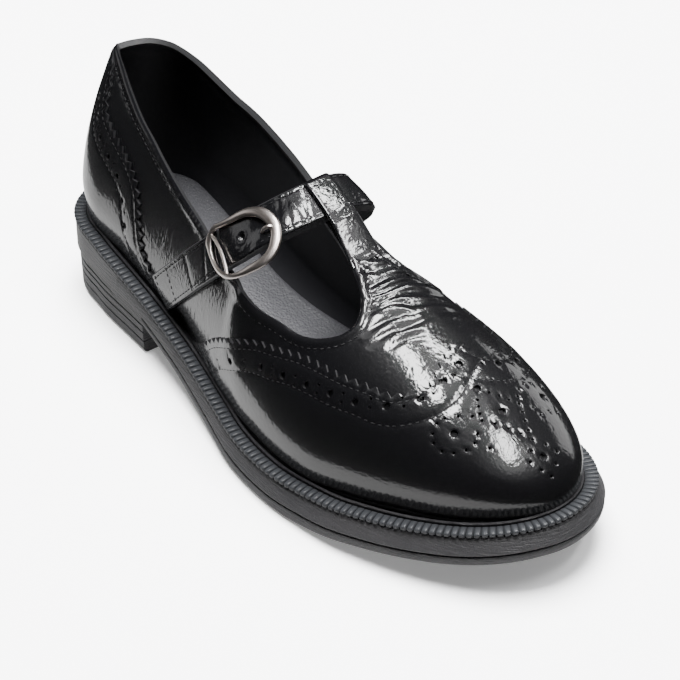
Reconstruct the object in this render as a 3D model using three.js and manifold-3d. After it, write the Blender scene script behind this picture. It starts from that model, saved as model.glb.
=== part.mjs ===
// T-bar brogue shoe, right foot, patent leather on a moulded rubber sole.
// Units are millimetres. The toe points to +Y, the wearer's right is +X, up is +Z.
// The origin is on the floor, under the middle of the sole.

import * as THREE from 'three';
import { mergeVertices } from 'three/addons/utils/BufferGeometryUtils.js';
import Module from 'manifold-3d';

const wasm = await Module();
wasm.setup();

// Driving dimensions of the sole
const soleLength = 268;
const soleWidth = 96;
const heelRise = 35.6;
const toeSpring = 13.6;
const midsoleSide = 8.5;
const heelBlockHeight = 19.8;
const liftThickness = 5.4;
const breastAt = 75;
const heelRound = 31;
const toeRound = 63;
const soleFlare = 2.8;

// Driving dimensions of the false welt on the sole's edge
const weltWidth = 4.8;
const weltHeight = 2.0;
const ribPitch = 2.6;
const ribDepth = 0.7;
const rimWidth = 1.2;
const rimHeight = 0.7;
const channelDepth = 1.5;

// Driving dimensions of the upper
const upperBack = 4.3;
const toeMargin = 7.1;
const sideMargin = 9;
const upperLength = soleLength - upperBack - toeMargin;
const upperWidth = soleWidth - 2 * sideMargin;
const upperToeRound = 60;
const wall = 2.2;
const collarHeight = 101;
const instepHeight = 0.8812 * collarHeight;
const insoleThickness = 3;

// Driving dimensions of overlays, strap and buckle
const overlayThickness = 1.1;
const bindingWidth = 3.5;
const strapThickness = 2.4;
const strapHalf = 7.6;
const skiveThickness = 1.0;
const frameThickness = 1.9;
const barThickness = 1.3;
const prongWidth = 1.7;
const prongThickness = 1.0;
const gap = 0.3;

// Middle of the buckle and the direction it faces; the strap climbs at 45 degrees in side view
const buckleAt = { x: 0.2885 * upperWidth, y: 0.4776 * soleLength, z: 0.7673 * collarHeight };
const buckleFaces = { x: 0.71, y: -0.07, z: 0.70 };

// Sole outline: middle of the width and half width, as shares of soleWidth
const soleOutline = [
  { at: 0.000, middle: 0.006, half: 0.338 },
  { at: 0.116, middle: 0.016, half: 0.346 },
  { at: 0.168, middle: 0.023, half: 0.354 },
  { at: 0.224, middle: 0.034, half: 0.348 },
  { at: 0.280, middle: 0.045, half: 0.342 },
  { at: 0.336, middle: 0.052, half: 0.343 },
  { at: 0.392, middle: 0.053, half: 0.356 },
  { at: 0.448, middle: 0.052, half: 0.381 },
  { at: 0.504, middle: 0.050, half: 0.412 },
  { at: 0.560, middle: 0.045, half: 0.448 },
  { at: 0.616, middle: 0.030, half: 0.476 },
  { at: 0.672, middle: 0.015, half: 0.486 },
  { at: 0.728, middle: -0.005, half: 0.480 },
  { at: 0.765, middle: -0.018, half: 0.471 },
  { at: 0.821, middle: -0.048, half: 0.458 },
  { at: 0.896, middle: -0.088, half: 0.458 },
  { at: 1.000, middle: -0.125, half: 0.469 },
];

// Height of the sole's upper edge, as a share of heelRise
const topLine = [
  { at: 0.000, rise: 1.000 },
  { at: 0.075, rise: 0.994 },
  { at: 0.168, rise: 0.933 },
  { at: 0.224, rise: 0.862 },
  { at: 0.280, rise: 0.778 },
  { at: 0.336, rise: 0.688 },
  { at: 0.392, rise: 0.601 },
  { at: 0.448, rise: 0.525 },
  { at: 0.504, rise: 0.463 },
  { at: 0.560, rise: 0.417 },
  { at: 0.616, rise: 0.396 },
  { at: 0.672, rise: 0.396 },
  { at: 0.728, rise: 0.421 },
  { at: 0.784, rise: 0.466 },
  { at: 0.858, rise: 0.545 },
  { at: 0.933, rise: 0.646 },
  { at: 1.000, rise: 0.756 },
];

// Height of the tread's underside, as a share of toeSpring; it is flat on the floor at the ball
const treadLine = [
  { at: 0.280, lift: 1.075 },
  { at: 0.336, lift: 0.815 },
  { at: 0.392, lift: 0.560 },
  { at: 0.448, lift: 0.330 },
  { at: 0.504, lift: 0.150 },
  { at: 0.560, lift: 0.020 },
  { at: 0.590, lift: -0.010 },
  { at: 0.690, lift: -0.010 },
  { at: 0.728, lift: 0.055 },
  { at: 0.784, lift: 0.215 },
  { at: 0.858, lift: 0.450 },
  { at: 0.933, lift: 0.715 },
  { at: 1.000, lift: 1.000 },
];

// Upper. Feather edge: middle and half width as shares of upperWidth. Belly: how far the widest
// level stands out past the feather edge, outer and inner, as shares of upperWidth, and its height
// over the feather as a share of instepHeight. Ridge: height as a share of instepHeight and place
// as a share of upperWidth. Full: 2 is an elliptic section, less is leaner and more is boxier.
const upperSections = [
  { at: 0.00, middle: 0.020, half: 0.330, outer: 0.020, inner: 0.040, belly: 0.16,
    ridge: 1.27, lean: -0.080, fullOut: 1.35, fullIn: 3.0 },
  { at: 0.10, middle: 0.028, half: 0.330, outer: 0.015, inner: 0.045, belly: 0.16,
    ridge: 1.27, lean: -0.085, fullOut: 1.38, fullIn: 3.1 },
  { at: 0.22, middle: 0.044, half: 0.319, outer: 0.015, inner: 0.083, belly: 0.15,
    ridge: 1.25, lean: -0.100, fullOut: 1.50, fullIn: 3.2 },
  { at: 0.34, middle: 0.065, half: 0.312, outer: 0.015, inner: 0.106, belly: 0.12,
    ridge: 1.18, lean: -0.125, fullOut: 1.70, fullIn: 2.9 },
  { at: 0.42, middle: 0.073, half: 0.342, outer: 0.015, inner: 0.091, belly: 0.11,
    ridge: 1.10, lean: -0.150, fullOut: 1.85, fullIn: 2.5 },
  { at: 0.49, middle: 0.069, half: 0.391, outer: 0.015, inner: 0.068, belly: 0.10,
    ridge: 1.01, lean: -0.160, fullOut: 2.10, fullIn: 2.8 },
  { at: 0.52, middle: 0.064, half: 0.412, outer: 0.015, inner: 0.060, belly: 0.10,
    ridge: 0.970, lean: -0.160, fullOut: 2.45, fullIn: 2.9 },
  { at: 0.57, middle: 0.052, half: 0.448, outer: 0.015, inner: 0.045, belly: 0.10,
    ridge: 0.905, lean: -0.160, fullOut: 2.10, fullIn: 2.35 },
  { at: 0.65, middle: 0.030, half: 0.484, outer: 0.014, inner: 0.045, belly: 0.10,
    ridge: 0.815, lean: -0.150, fullOut: 2.05, fullIn: 2.05 },
  { at: 0.72, middle: 0.000, half: 0.494, outer: 0.013, inner: 0.045, belly: 0.10,
    ridge: 0.750, lean: -0.145, fullOut: 2.10, fullIn: 2.10 },
  { at: 0.79, middle: -0.040, half: 0.469, outer: 0.012, inner: 0.051, belly: 0.10,
    ridge: 0.690, lean: -0.145, fullOut: 2.15, fullIn: 2.15 },
  { at: 0.86, middle: -0.085, half: 0.450, outer: 0.012, inner: 0.045, belly: 0.10,
    ridge: 0.635, lean: -0.150, fullOut: 2.20, fullIn: 2.20 },
  { at: 0.93, middle: -0.120, half: 0.445, outer: 0.012, inner: 0.040, belly: 0.10,
    ridge: 0.590, lean: -0.155, fullOut: 2.25, fullIn: 2.25 },
  { at: 1.00, middle: -0.160, half: 0.445, outer: 0.012, inner: 0.030, belly: 0.10,
    ridge: 0.560, lean: -0.165, fullOut: 2.25, fullIn: 2.25 },
];

// Back of the heel seen from the side: how far it stands forward, as a share of heelRound
const backLine = [
  { at: 0.30, forward: 0.120 },
  { at: 0.42, forward: 0.035 },
  { at: 0.55, forward: 0.000 },
  { at: 0.68, forward: 0.020 },
  { at: 0.80, forward: 0.080 },
  { at: 0.92, forward: 0.180 },
  { at: 1.00, forward: 0.260 },
  { at: 1.30, forward: 0.520 },
];

// Topline of the quarters seen from the side: height as a share of collarHeight
const topEdge = [
  { at: -0.10, outer: 1.020, inner: 1.020 },
  { at: 0.047, outer: 1.010, inner: 1.008 },
  { at: 0.075, outer: 0.993, inner: 0.983 },
  { at: 0.100, outer: 0.971, inner: 0.950 },
  { at: 0.134, outer: 0.930, inner: 0.924 },
  { at: 0.175, outer: 0.881, inner: 0.891 },
  { at: 0.213, outer: 0.844, inner: 0.866 },
  { at: 0.265, outer: 0.787, inner: 0.849 },
  { at: 0.313, outer: 0.738, inner: 0.820 },
  { at: 0.362, outer: 0.698, inner: 0.775 },
  { at: 0.418, outer: 0.661, inner: 0.703 },
];

// Side openings beside the T-bar, from the topline round the front and back along the T-bar.
// A row gives a height as a share of collarHeight, or near the ridge a place across as a share
// of upperWidth.
const openingOuter = [
  { at: 0.362, height: 0.698 },
  { at: 0.392, height: 0.676 },
  { at: 0.418, height: 0.661 },
  { at: 0.450, height: 0.643 },
  { at: 0.485, height: 0.631 },
  { at: 0.540, height: 0.604 },
  { at: 0.583, height: 0.590 },
  { at: 0.621, height: 0.585 },
  { at: 0.648, height: 0.597 },
  { at: 0.667, height: 0.620 },
  { at: 0.670, across: 0.150 },
  { at: 0.655, across: 0.077 },
  { at: 0.631, across: 0.027 },
  { at: 0.598, across: -0.013 },
  { at: 0.563, across: -0.031 },
  { at: 0.530, across: -0.036 },
  { at: 0.480, across: -0.038 },
];
const openingInner = [
  { at: 0.362, height: 0.775 },
  { at: 0.403, height: 0.722 },
  { at: 0.440, height: 0.672 },
  { at: 0.485, height: 0.630 },
  { at: 0.537, height: 0.597 },
  { at: 0.582, height: 0.580 },
  { at: 0.619, height: 0.577 },
  { at: 0.646, height: 0.590 },
  { at: 0.660, height: 0.615 },
  { at: 0.657, across: -0.335 },
  { at: 0.643, across: -0.270 },
  { at: 0.626, across: -0.228 },
  { at: 0.598, across: -0.187 },
  { at: 0.568, across: -0.180 },
  { at: 0.530, across: -0.177 },
  { at: 0.480, across: -0.177 },
];

// Wing-tip edge of the toe cap, from the welt over the side to the peak in the middle
const capOuter = [
  { at: 0.385, height: 0.150 },
  { at: 0.418, height: 0.249 },
  { at: 0.470, height: 0.365 },
  { at: 0.530, height: 0.459 },
  { at: 0.569, height: 0.501 },
  { at: 0.606, height: 0.521 },
  { at: 0.639, height: 0.537 },
  { at: 0.672, height: 0.541 },
  { at: 0.712, height: 0.537 },
  { at: 0.740, height: 0.536 },
  { at: 0.773, height: 0.530 },
  { at: 0.790, across: 0.164 },
  { at: 0.797, across: 0.095 },
  { at: 0.794, across: 0.037 },
  { at: 0.785, across: -0.023 },
  { at: 0.776, across: -0.085 },
  { at: 0.769, across: -0.150 },
];
const capInner = [
  { at: 0.385, height: 0.150 },
  { at: 0.418, height: 0.245 },
  { at: 0.470, height: 0.345 },
  { at: 0.530, height: 0.425 },
  { at: 0.567, height: 0.470 },
  { at: 0.604, height: 0.505 },
  { at: 0.642, height: 0.525 },
  { at: 0.679, height: 0.535 },
  { at: 0.716, height: 0.535 },
  { at: 0.750, height: 0.525 },
  { at: 0.778, height: 0.527 },
  { at: 0.800, across: -0.345 },
  { at: 0.803, across: -0.280 },
  { at: 0.797, across: -0.225 },
  { at: 0.783, across: -0.185 },
  { at: 0.769, across: -0.150 },
];

// Front edge of the heel counter, from the topline down to the welt
const counterEdge = [
  { at: 0.070, height: 1.000 },
  { at: 0.085, height: 0.935 },
  { at: 0.101, height: 0.842 },
  { at: 0.122, height: 0.786 },
  { at: 0.157, height: 0.749 },
  { at: 0.189, height: 0.714 },
  { at: 0.217, height: 0.660 },
  { at: 0.229, height: 0.612 },
  { at: 0.244, height: 0.506 },
  { at: 0.254, height: 0.430 },
  { at: 0.271, height: 0.372 },
  { at: 0.300, height: 0.290 },
  { at: 0.310, height: 0.200 },
];

// Buckle frame round its middle in mm: t runs up along the strap, w across it to the toe
const frameOuter = [
  { t: -18.5, w: -3.2 }, { t: -17.0, w: 1.3 }, { t: -14.8, w: 5.5 }, { t: -11.7, w: 9.7 },
  { t: -7.8, w: 13.0 }, { t: -3.7, w: 14.7 }, { t: 0.2, w: 15.0 }, { t: 3.9, w: 14.6 },
  { t: 7.2, w: 13.5 }, { t: 9.9, w: 11.8 }, { t: 12.2, w: 9.7 }, { t: 13.8, w: 7.3 },
  { t: 14.9, w: 4.7 }, { t: 15.3, w: 1.8 }, { t: 14.9, w: -1.5 }, { t: 13.7, w: -4.7 },
  { t: 10.6, w: -8.8 }, { t: 6.2, w: -10.8 }, { t: -0.3, w: -11.4 }, { t: -7.8, w: -11.9 },
  { t: -14.0, w: -12.9 }, { t: -17.4, w: -10.8 },
];
const frameInner = [
  { t: -15.8, w: -3.0 }, { t: -14.4, w: 1.0 }, { t: -12.3, w: 4.8 }, { t: -9.6, w: 8.2 },
  { t: -6.6, w: 10.6 }, { t: -3.2, w: 11.7 }, { t: -0.4, w: 12.1 }, { t: 1.9, w: 12.0 },
  { t: 5.0, w: 11.4 }, { t: 7.5, w: 10.3 }, { t: 9.4, w: 8.6 }, { t: 10.8, w: 6.4 },
  { t: 11.7, w: 4.0 }, { t: 11.9, w: 1.9 }, { t: 11.6, w: -0.4 }, { t: 11.0, w: -2.4 },
  { t: 8.5, w: -6.3 }, { t: 4.4, w: -8.7 }, { t: -0.8, w: -9.6 }, { t: -7.4, w: -9.9 },
  { t: -12.0, w: -10.7 }, { t: -14.6, w: -9.4 },
];

// Underside of the prong above the upper's form along t, from the bar through the strap's hole
const prongLine = [
  { t: -8.0, level: 0.4 },
  { t: 4.6, level: 0.4 },
  { t: 7.0, level: 1.8 },
  { t: 9.0, level: 4.2 },
  { t: 10.6, level: 5.4 },
  { t: 13.8, level: 5.4 },
];

// Top of the loop above the upper's form, from its fold behind the strap to its foot on the T-bar
const loopLine = [
  { at: 0.4810, level: 1.6 },
  { at: 0.4847, level: 3.1 },
  { at: 0.4910, level: 4.2 },
  { at: 0.5037, level: 4.4 },
  { at: 0.5224, level: 4.4 },
  { at: 0.5410, level: 4.3 },
  { at: 0.5541, level: 3.9 },
  { at: 0.5672, level: 2.8 },
  { at: 0.5821, level: 1.3 },
];

// Smooth value of one column of a table at a place between its rows
function along(table, column, place) {
  const last = table.length - 1;
  if (place <= table[0].at) return table[0][column];
  if (place >= table[last].at) return table[last][column];
  let row = 0;
  while (table[row + 1].at < place) row += 1;
  const slope = (i) => {
    const before = Math.max(0, i - 1);
    const after = Math.min(last, i + 1);
    return (table[after][column] - table[before][column]) / (table[after].at - table[before].at);
  };
  const span = table[row + 1].at - table[row].at;
  const t = (place - table[row].at) / span;
  const a = table[row][column];
  const b = table[row + 1][column];
  const ends = a * (1 + 2 * t) * (1 - t) ** 2 + b * t * t * (3 - 2 * t);
  return ends + span * (slope(row) * t * (1 - t) ** 2 - slope(row + 1) * t * t * (1 - t));
}

// Share of the full width that is left at a distance from a rounded end
function rounding(distance, reach, power) {
  if (distance >= reach) return 1;
  const share = 1 - Math.max(0, distance) / reach;
  return (1 - share ** power) ** (1 / power);
}

const weltTop = (y) => heelRise * along(topLine, 'rise', y / soleLength);

// Underside of the midsole: the heel block's top at the back, then the tread's top
function midsoleBottom(y) {
  const front = weltTop(y) - midsoleSide;
  const share = Math.min(1, Math.max(0, (y / soleLength - 0.2) / 0.1));
  const blend = share * share * (3 - 2 * share);
  return heelBlockHeight * (1 - blend) + Math.min(front, heelBlockHeight) * blend;
}

const treadBottom = (y) => Math.max(0, toeSpring * along(treadLine, 'lift', y / soleLength));

function soleEdge(y, side) {
  const share = y / soleLength;
  const ends = rounding(y, heelRound, 2.2) * rounding(soleLength - y, toeRound, 2);
  const half = soleWidth * along(soleOutline, 'half', share) * ends;
  return soleWidth * along(soleOutline, 'middle', share) + side * half;
}

// Outline of the sole as pairs of points, from the heel along the outer side and back
function outlinePoints(from, to, pairs) {
  const outer = [];
  const inner = [];
  const small = 0.05;
  for (let i = 0; i < pairs; i += 1) {
    const y = stationAt(from, to, (i + 0.5) / pairs);
    for (const side of [1, -1]) {
      const y0 = Math.max(0, y - small);
      const y1 = Math.min(soleLength, y + small);
      const dx = soleEdge(y1, side) - soleEdge(y0, side);
      const dy = y1 - y0;
      const size = Math.hypot(dx, dy);
      const point = { x: soleEdge(y, side), y, nx: side * dy / size, ny: -side * dx / size };
      (side > 0 ? outer : inner).push(point);
    }
  }
  return [...outer, ...inner.reverse()];
}

// Places from one end to the other, closer together where the sole's ends are round
function stationAt(from, to, share) {
  const full = (s) => soleLength * (1 - Math.cos(Math.PI * s)) / 2;
  const place = (y) => Math.acos(1 - 2 * y / soleLength) / Math.PI;
  return full(place(from) + (place(to) - place(from)) * share);
}

// Closed body through rings of points; each ring's halves mirror each other for the end caps
function loftGeometry(rings, closed) {
  const count = rings[0].length;
  const positions = rings.flat().flatMap((p) => [p.x, p.y, p.z]);
  const faces = [];
  const bands = closed ? rings.length : rings.length - 1;
  for (let r = 0; r < bands; r += 1) {
    const next = ((r + 1) % rings.length) * count;
    const here = r * count;
    for (let k = 0; k < count; k += 1) {
      const l = (k + 1) % count;
      faces.push(here + k, here + l, next + l, here + k, next + l, next + k);
    }
  }
  if (!closed) {
    const top = (rings.length - 1) * count;
    for (let k = 0; k + 1 < count - 1 - k; k += 1) {
      const far = count - 1 - k;
      if (k + 1 === far - 1) {
        faces.push(far, k + 1, k, top + k, top + k + 1, top + far);
      } else {
        faces.push(far, far - 1, k + 1, far, k + 1, k);
        faces.push(top + k, top + k + 1, top + far - 1, top + k, top + far - 1, top + far);
      }
    }
  }
  const geometry = new THREE.BufferGeometry();
  geometry.setAttribute('position', new THREE.Float32BufferAttribute(positions, 3));
  geometry.setIndex(faces);
  return geometry;
}

// Signed volume of a closed mesh, negative where its faces point in
function volumeOf(vertices, triangles) {
  let volume = 0;
  const corner = (i) => new THREE.Vector3().fromArray(vertices, 3 * i);
  for (let t = 0; t < triangles.length; t += 3) {
    const a = corner(triangles[t]);
    const b = corner(triangles[t + 1]);
    const c = corner(triangles[t + 2]);
    volume += a.dot(b.cross(c)) / 6;
  }
  return volume;
}

function solidFrom(geometry) {
  const plain = geometry.clone();
  plain.deleteAttribute('normal');
  plain.deleteAttribute('uv');
  const merged = mergeVertices(plain, 1e-4);
  const vertProperties = new Float32Array(merged.attributes.position.array);
  const triVerts = new Uint32Array(merged.index.array);
  if (volumeOf(vertProperties, triVerts) < 0) triVerts.reverse();
  return new wasm.Manifold(new wasm.Mesh({ numProp: 3, vertProperties, triVerts }));
}

const shoe = new THREE.Group();

const rubber = new THREE.MeshStandardMaterial({ color: 0x2b2a2a, roughness: 0.7, metalness: 0 });
const patent = new THREE.MeshStandardMaterial({ color: 0x0a0a0b, roughness: 0.15, metalness: 0 });
const sock = new THREE.MeshStandardMaterial({ color: 0x1c1c1f, roughness: 0.6, metalness: 0 });
const metal = new THREE.MeshStandardMaterial({ color: 0xc9c0b8, roughness: 0.25, metalness: 1 });

function addPiece(name, solid, material) {
  const result = solid.getMesh();
  const geometry = new THREE.BufferGeometry();
  const points = result.vertProperties;
  geometry.setAttribute('position', new THREE.Float32BufferAttribute(points, 3));
  geometry.setIndex(Array.from(result.triVerts));
  geometry.computeVertexNormals();
  const mesh = new THREE.Mesh(geometry, material);
  mesh.name = name;
  shoe.add(mesh);
}

// Slab between levels of the sole's outline; a level has an inset and a height function
function slab(from, to, pairs, levels) {
  const outline = outlinePoints(from, to, pairs);
  const rings = levels.map(({ inset, height }) => outline.map((p) => {
    const depth = typeof inset === 'function' ? inset(p.y) : inset;
    const y = p.y - p.ny * depth;
    return { x: p.x - p.nx * depth, y, z: height(y) };
  }));
  return solidFrom(loftGeometry(rings, false));
}

const flareAt = (y) => -soleFlare * along([{ at: 0.2, f: 0 }, { at: 0.75, f: 1 }], 'f', y / soleLength);

// Top lift and heel block, with the stack lines pressed into the side
const heelInset = 0.8;
const heelPairs = 20;
const stackLines = [0.50, 0.68, 0.83];
const lineHalf = 0.45;
const lineDepth = 0.7;
const breast = { from: 0, to: breastAt };

addPiece('top_lift', slab(breast.from, breast.to, heelPairs, [
  { inset: heelInset + 1.4, height: () => 0 },
  { inset: heelInset + 0.4, height: () => 0.9 },
  { inset: heelInset, height: () => liftThickness },
]), rubber);

const blockLevels = [{ inset: heelInset, height: () => liftThickness + gap }];
for (const share of stackLines) {
  const height = heelBlockHeight * share;
  blockLevels.push({ inset: heelInset, height: () => height - lineHalf });
  blockLevels.push({ inset: heelInset + lineDepth, height: () => height });
  blockLevels.push({ inset: heelInset, height: () => height + lineHalf });
}
blockLevels.push({ inset: heelInset, height: (y) => midsoleBottom(y) - gap });
addPiece('heel_block', slab(breast.from, breast.to, heelPairs, blockLevels), rubber);

// Tread of waist and forefoot, in front of the heel's breast
addPiece('tread', slab(breastAt + gap, soleLength, 32, [
  { inset: (y) => flareAt(y) + 2.2, height: treadBottom },
  { inset: (y) => flareAt(y) + 0.5, height: (y) => treadBottom(y) + 1.3 },
  { inset: flareAt, height: (y) => midsoleBottom(y) - gap - 0.7 },
  { inset: (y) => flareAt(y) + 0.7, height: (y) => midsoleBottom(y) - gap },
]), rubber);

// Midsole with the ledge for the ribs, the rim line and the channel beside the upper
const ledge = weltWidth + gap;
addPiece('midsole', slab(0, soleLength, 42, [
  { inset: (y) => flareAt(y) + 0.7, height: midsoleBottom },
  { inset: flareAt, height: (y) => midsoleBottom(y) + 0.7 },
  { inset: 0.3, height: (y) => weltTop(y) - weltHeight - gap },
  { inset: ledge, height: (y) => weltTop(y) - weltHeight - gap },
  { inset: ledge, height: (y) => weltTop(y) + rimHeight },
  { inset: ledge + rimWidth, height: (y) => weltTop(y) + rimHeight },
  { inset: ledge + rimWidth, height: (y) => weltTop(y) - channelDepth },
]), rubber);

// False welt: a strip on the ledge, with a crest and a valley for each rib
function weltStrip() {
  const fine = outlinePoints(0, soleLength, 400);
  const lengths = [0];
  for (let i = 1; i <= fine.length; i += 1) {
    const a = fine[i - 1];
    const b = fine[i % fine.length];
    lengths.push(lengths[i - 1] + Math.hypot(b.x - a.x, b.y - a.y));
  }
  const total = lengths[fine.length];
  const ribs = Math.round(total / ribPitch);
  const rings = [];
  let seg = 0;
  for (let i = 0; i < 2 * ribs; i += 1) {
    const place = total * i / (2 * ribs);
    while (lengths[seg + 1] < place) seg += 1;
    const t = (place - lengths[seg]) / (lengths[seg + 1] - lengths[seg]);
    const a = fine[seg];
    const b = fine[(seg + 1) % fine.length];
    const mix = (key) => a[key] + (b[key] - a[key]) * t;
    const low = i % 2 ? ribDepth : 0;
    const put = (inset, height) => {
      const y = mix('y') - mix('ny') * inset;
      return { x: mix('x') - mix('nx') * inset, y, z: weltTop(y) + height };
    };
    rings.push([
      put(low, -weltHeight),
      put(low + 0.3, -low),
      put(weltWidth, -low / 2),
      put(weltWidth, -weltHeight),
    ]);
  }
  return solidFrom(loftGeometry(rings, true));
}
addPiece('welt_ribs', weltStrip(), rubber);

// The upper's own form at a place counted from its back edge, for one side, moved in by inset
// or out where that is negative
const heelReach = 1.6 * heelRound;
function sectionOf(nominal, side, inset) {
  const share = nominal / upperLength;
  const at = (column) => along(upperSections, column, share);
  const toe = rounding(upperLength - inset - nominal, upperToeRound - inset, 2);
  const ends = toe * rounding(nominal, heelRound - inset, 2.2);
  const floor = weltTop(nominal + upperBack) - channelDepth + gap;
  const belly = floor + instepHeight * at('belly') * (0.35 + 0.65 * toe);
  const middle = upperWidth * at('middle');
  const stand = upperWidth * at(side > 0 ? 'outer' : 'inner') * ends;
  const half = (upperWidth * at('half') - inset) * ends;
  return {
    floor,
    belly,
    stand,
    wide: middle + side * (half + stand),
    ridgeX: middle + (upperWidth * at('lean') - middle) * ends,
    ridgeZ: belly + (instepHeight * at('ridge') - inset - belly) * toe,
    full: at(side > 0 ? 'fullOut' : 'fullIn'),
  };
}

// Point of the form: place is 0 at the back and 1 at the toe tip, turn goes from 0 at the outer
// feather edge over the ridge to 1 at the inner one
const featherShare = 0.16;
function formPoint(place, turn, inset, drop) {
  const side = turn <= 0.5 ? 1 : -1;
  const climb = 1 - Math.abs(turn - 0.5) * 2;
  const nominal = place * (upperLength - inset);
  const { floor, belly, stand, wide, ridgeX, ridgeZ, full } = sectionOf(nominal, side, inset);
  let x = wide;
  let z = floor - drop;
  if (climb < featherShare) {
    const t = climb / featherShare;
    x = wide - side * stand * (1 - t) ** 2;
    z = floor - drop + (belly - floor + drop) * t;
  } else {
    const angle = (climb - featherShare) / (1 - featherShare) * Math.PI / 2;
    x = ridgeX + (wide - ridgeX) * Math.max(0, Math.cos(angle)) ** (2 / full);
    z = belly + (ridgeZ - belly) * Math.sin(angle) ** (2 / full);
  }
  const forward = heelRound * along(backLine, 'forward', z / collarHeight) + inset;
  const keep = Math.max(0, 1 - nominal / heelReach);
  return { x, y: upperBack + nominal + forward * keep * keep, z };
}

function form(inset, drop, stations, turns) {
  const rings = [];
  for (let i = 0; i < stations; i += 1) {
    const place = (1 - Math.cos(Math.PI * (i + 0.5) / stations)) / 2;
    const ring = [];
    for (let k = 0; k <= turns; k += 1) ring.push(formPoint(place, k / turns, inset, drop));
    rings.push(ring);
  }
  return solidFrom(loftGeometry(rings, false));
}

// Place across at a height on one side of the form, and height at a place across
function acrossAt(y, z, side, inset) {
  const { belly, wide, ridgeX, ridgeZ, full } = sectionOf(y - upperBack, side, inset);
  const up = Math.min(1, Math.max(0, (z - belly) / (ridgeZ - belly)));
  return ridgeX + (wide - ridgeX) * (1 - up ** full) ** (1 / full);
}

function heightAt(y, x, inset) {
  const side = x > sectionOf(y - upperBack, 1, inset).ridgeX ? 1 : -1;
  const { belly, wide, ridgeX, ridgeZ, full } = sectionOf(y - upperBack, side, inset);
  const out = Math.min(1, Math.abs((x - ridgeX) / (wide - ridgeX)));
  return belly + (ridgeZ - belly) * (1 - out ** full) ** (1 / full);
}

// Prism that leaves the shoe's middle plane to one side, rising with slope and running forward
// with skew as it goes out. All of its outline is in sight from the hub.
const middlePlane = -0.15 * upperWidth;
const farOut = upperWidth;
function sidePrism(outline, hub, side, slope, skew = 0) {
  const count = outline.length;
  const near = [...outline, hub].map(([y, z]) => [middlePlane, y, z]);
  const far = near.map(([x, y, z]) => [x + side * farOut, y + skew * farOut, z + slope * farOut]);
  const faces = [];
  for (let k = 0; k < count; k += 1) {
    const l = (k + 1) % count;
    const next = count + 1;
    faces.push(k, l, count, l + next, k + next, count + next);
    faces.push(l, k, k + next, l, k + next, l + next);
  }
  const geometry = new THREE.BufferGeometry();
  geometry.setAttribute('position', new THREE.Float32BufferAttribute([...near, ...far].flat(), 3));
  geometry.setIndex(faces);
  return solidFrom(geometry);
}

function smoothLine(points, steps) {
  const corners = points.map(([y, z]) => new THREE.Vector3(y, z, 0));
  const curve = new THREE.CatmullRomCurve3(corners, false, 'centripetal');
  return curve.getPoints(steps * (points.length - 1)).map((p) => [p.x, p.y]);
}

// An edge's rows on the middle plane, as met by a prism that rises at 45 degrees
function leaningLine(rows, side) {
  return smoothLine(rows.map((row) => {
    const y = row.at * soleLength;
    const onTop = 'across' in row;
    const x = onTop ? row.across * upperWidth : acrossAt(y, row.height * collarHeight, side, 0);
    const z = onTop ? heightAt(y, x, 0) : row.height * collarHeight;
    return [y, z - Math.abs(x - middlePlane)];
  }), 2);
}

const above = 2 * collarHeight;
const quarterFront = 0.37 * soleLength;
const behind = -0.1 * soleLength;
const beyond = 1.2 * soleLength;

// Everything over the topline of one side, lowered by drop
function collarPrism(side, drop) {
  const outline = [];
  const steps = 18;
  for (let i = 0; i <= steps; i += 1) {
    const y = behind + (quarterFront - behind) * i / steps;
    const share = along(topEdge, side > 0 ? 'outer' : 'inner', y / soleLength);
    outline.push([y, collarHeight * share - drop]);
  }
  outline.push([quarterFront, above], [behind, above]);
  return sidePrism(outline, [quarterFront / 2, 1.5 * collarHeight], side, 0);
}

// Everything inside a side opening, with the space over the instep behind the T-bar
function openingPrism(rows, side, hubHeight) {
  const edge = leaningLine(rows, side);
  const rear = edge[edge.length - 1][0];
  const outline = [...edge, [rear, above], [edge[0][0], above]];
  return sidePrism(outline, [0.47 * soleLength, hubHeight * collarHeight], side, 1);
}

const bothSides = (piece) => piece(1).add(piece(-1));
const openings = openingPrism(openingOuter, 1, 0.48).add(openingPrism(openingInner, -1, 0.60));
const collar = bothSides((side) => collarPrism(side, 0));
const formStations = 30;
const formTurns = 20;
const upperWall = form(0, 0, formStations, formTurns).subtract(form(wall, 4, formStations, formTurns));

addPiece('upper', upperWall.subtract(collar).subtract(openings), patent);

// Room that the welt and its rim need beside the upper
const rimRoom = slab(0, soleLength, 42, [
  { inset: -8, height: (y) => weltTop(y) - 12 },
  { inset: -8, height: (y) => weltTop(y) + rimHeight + gap },
]);

// Overlays, strap and loop lie over the upper between two larger forms, clear of the welt's rim
const over = (level) => form(-level, level > gap ? 0 : 3, formStations, formTurns);
const base = over(gap);
const cover = (low, high) => over(high).subtract(low === gap ? base : over(low)).subtract(rimRoom);
const overlay = cover(gap, gap + overlayThickness);

function capPrism(rows, side) {
  const edge = leaningLine(rows, side);
  const [rear, peak] = [edge[0][0], edge[edge.length - 1][1]];
  const outline = [[rear, -soleWidth], ...edge, [beyond, peak], [beyond, -soleWidth]];
  return sidePrism(outline, [0.95 * beyond, -0.9 * soleWidth], side, 1);
}
const capShape = capPrism(capOuter, 1).add(capPrism(capInner, -1));
addPiece('toe_cap', overlay.intersect(capShape), patent);

// Places in side view, t up along the strap and w across it, counted from the buckle's middle
const half = Math.SQRT1_2;
const sideView = (t, w) => [buckleAt.y + half * (t + w), buckleAt.z + half * (t - w)];

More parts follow.
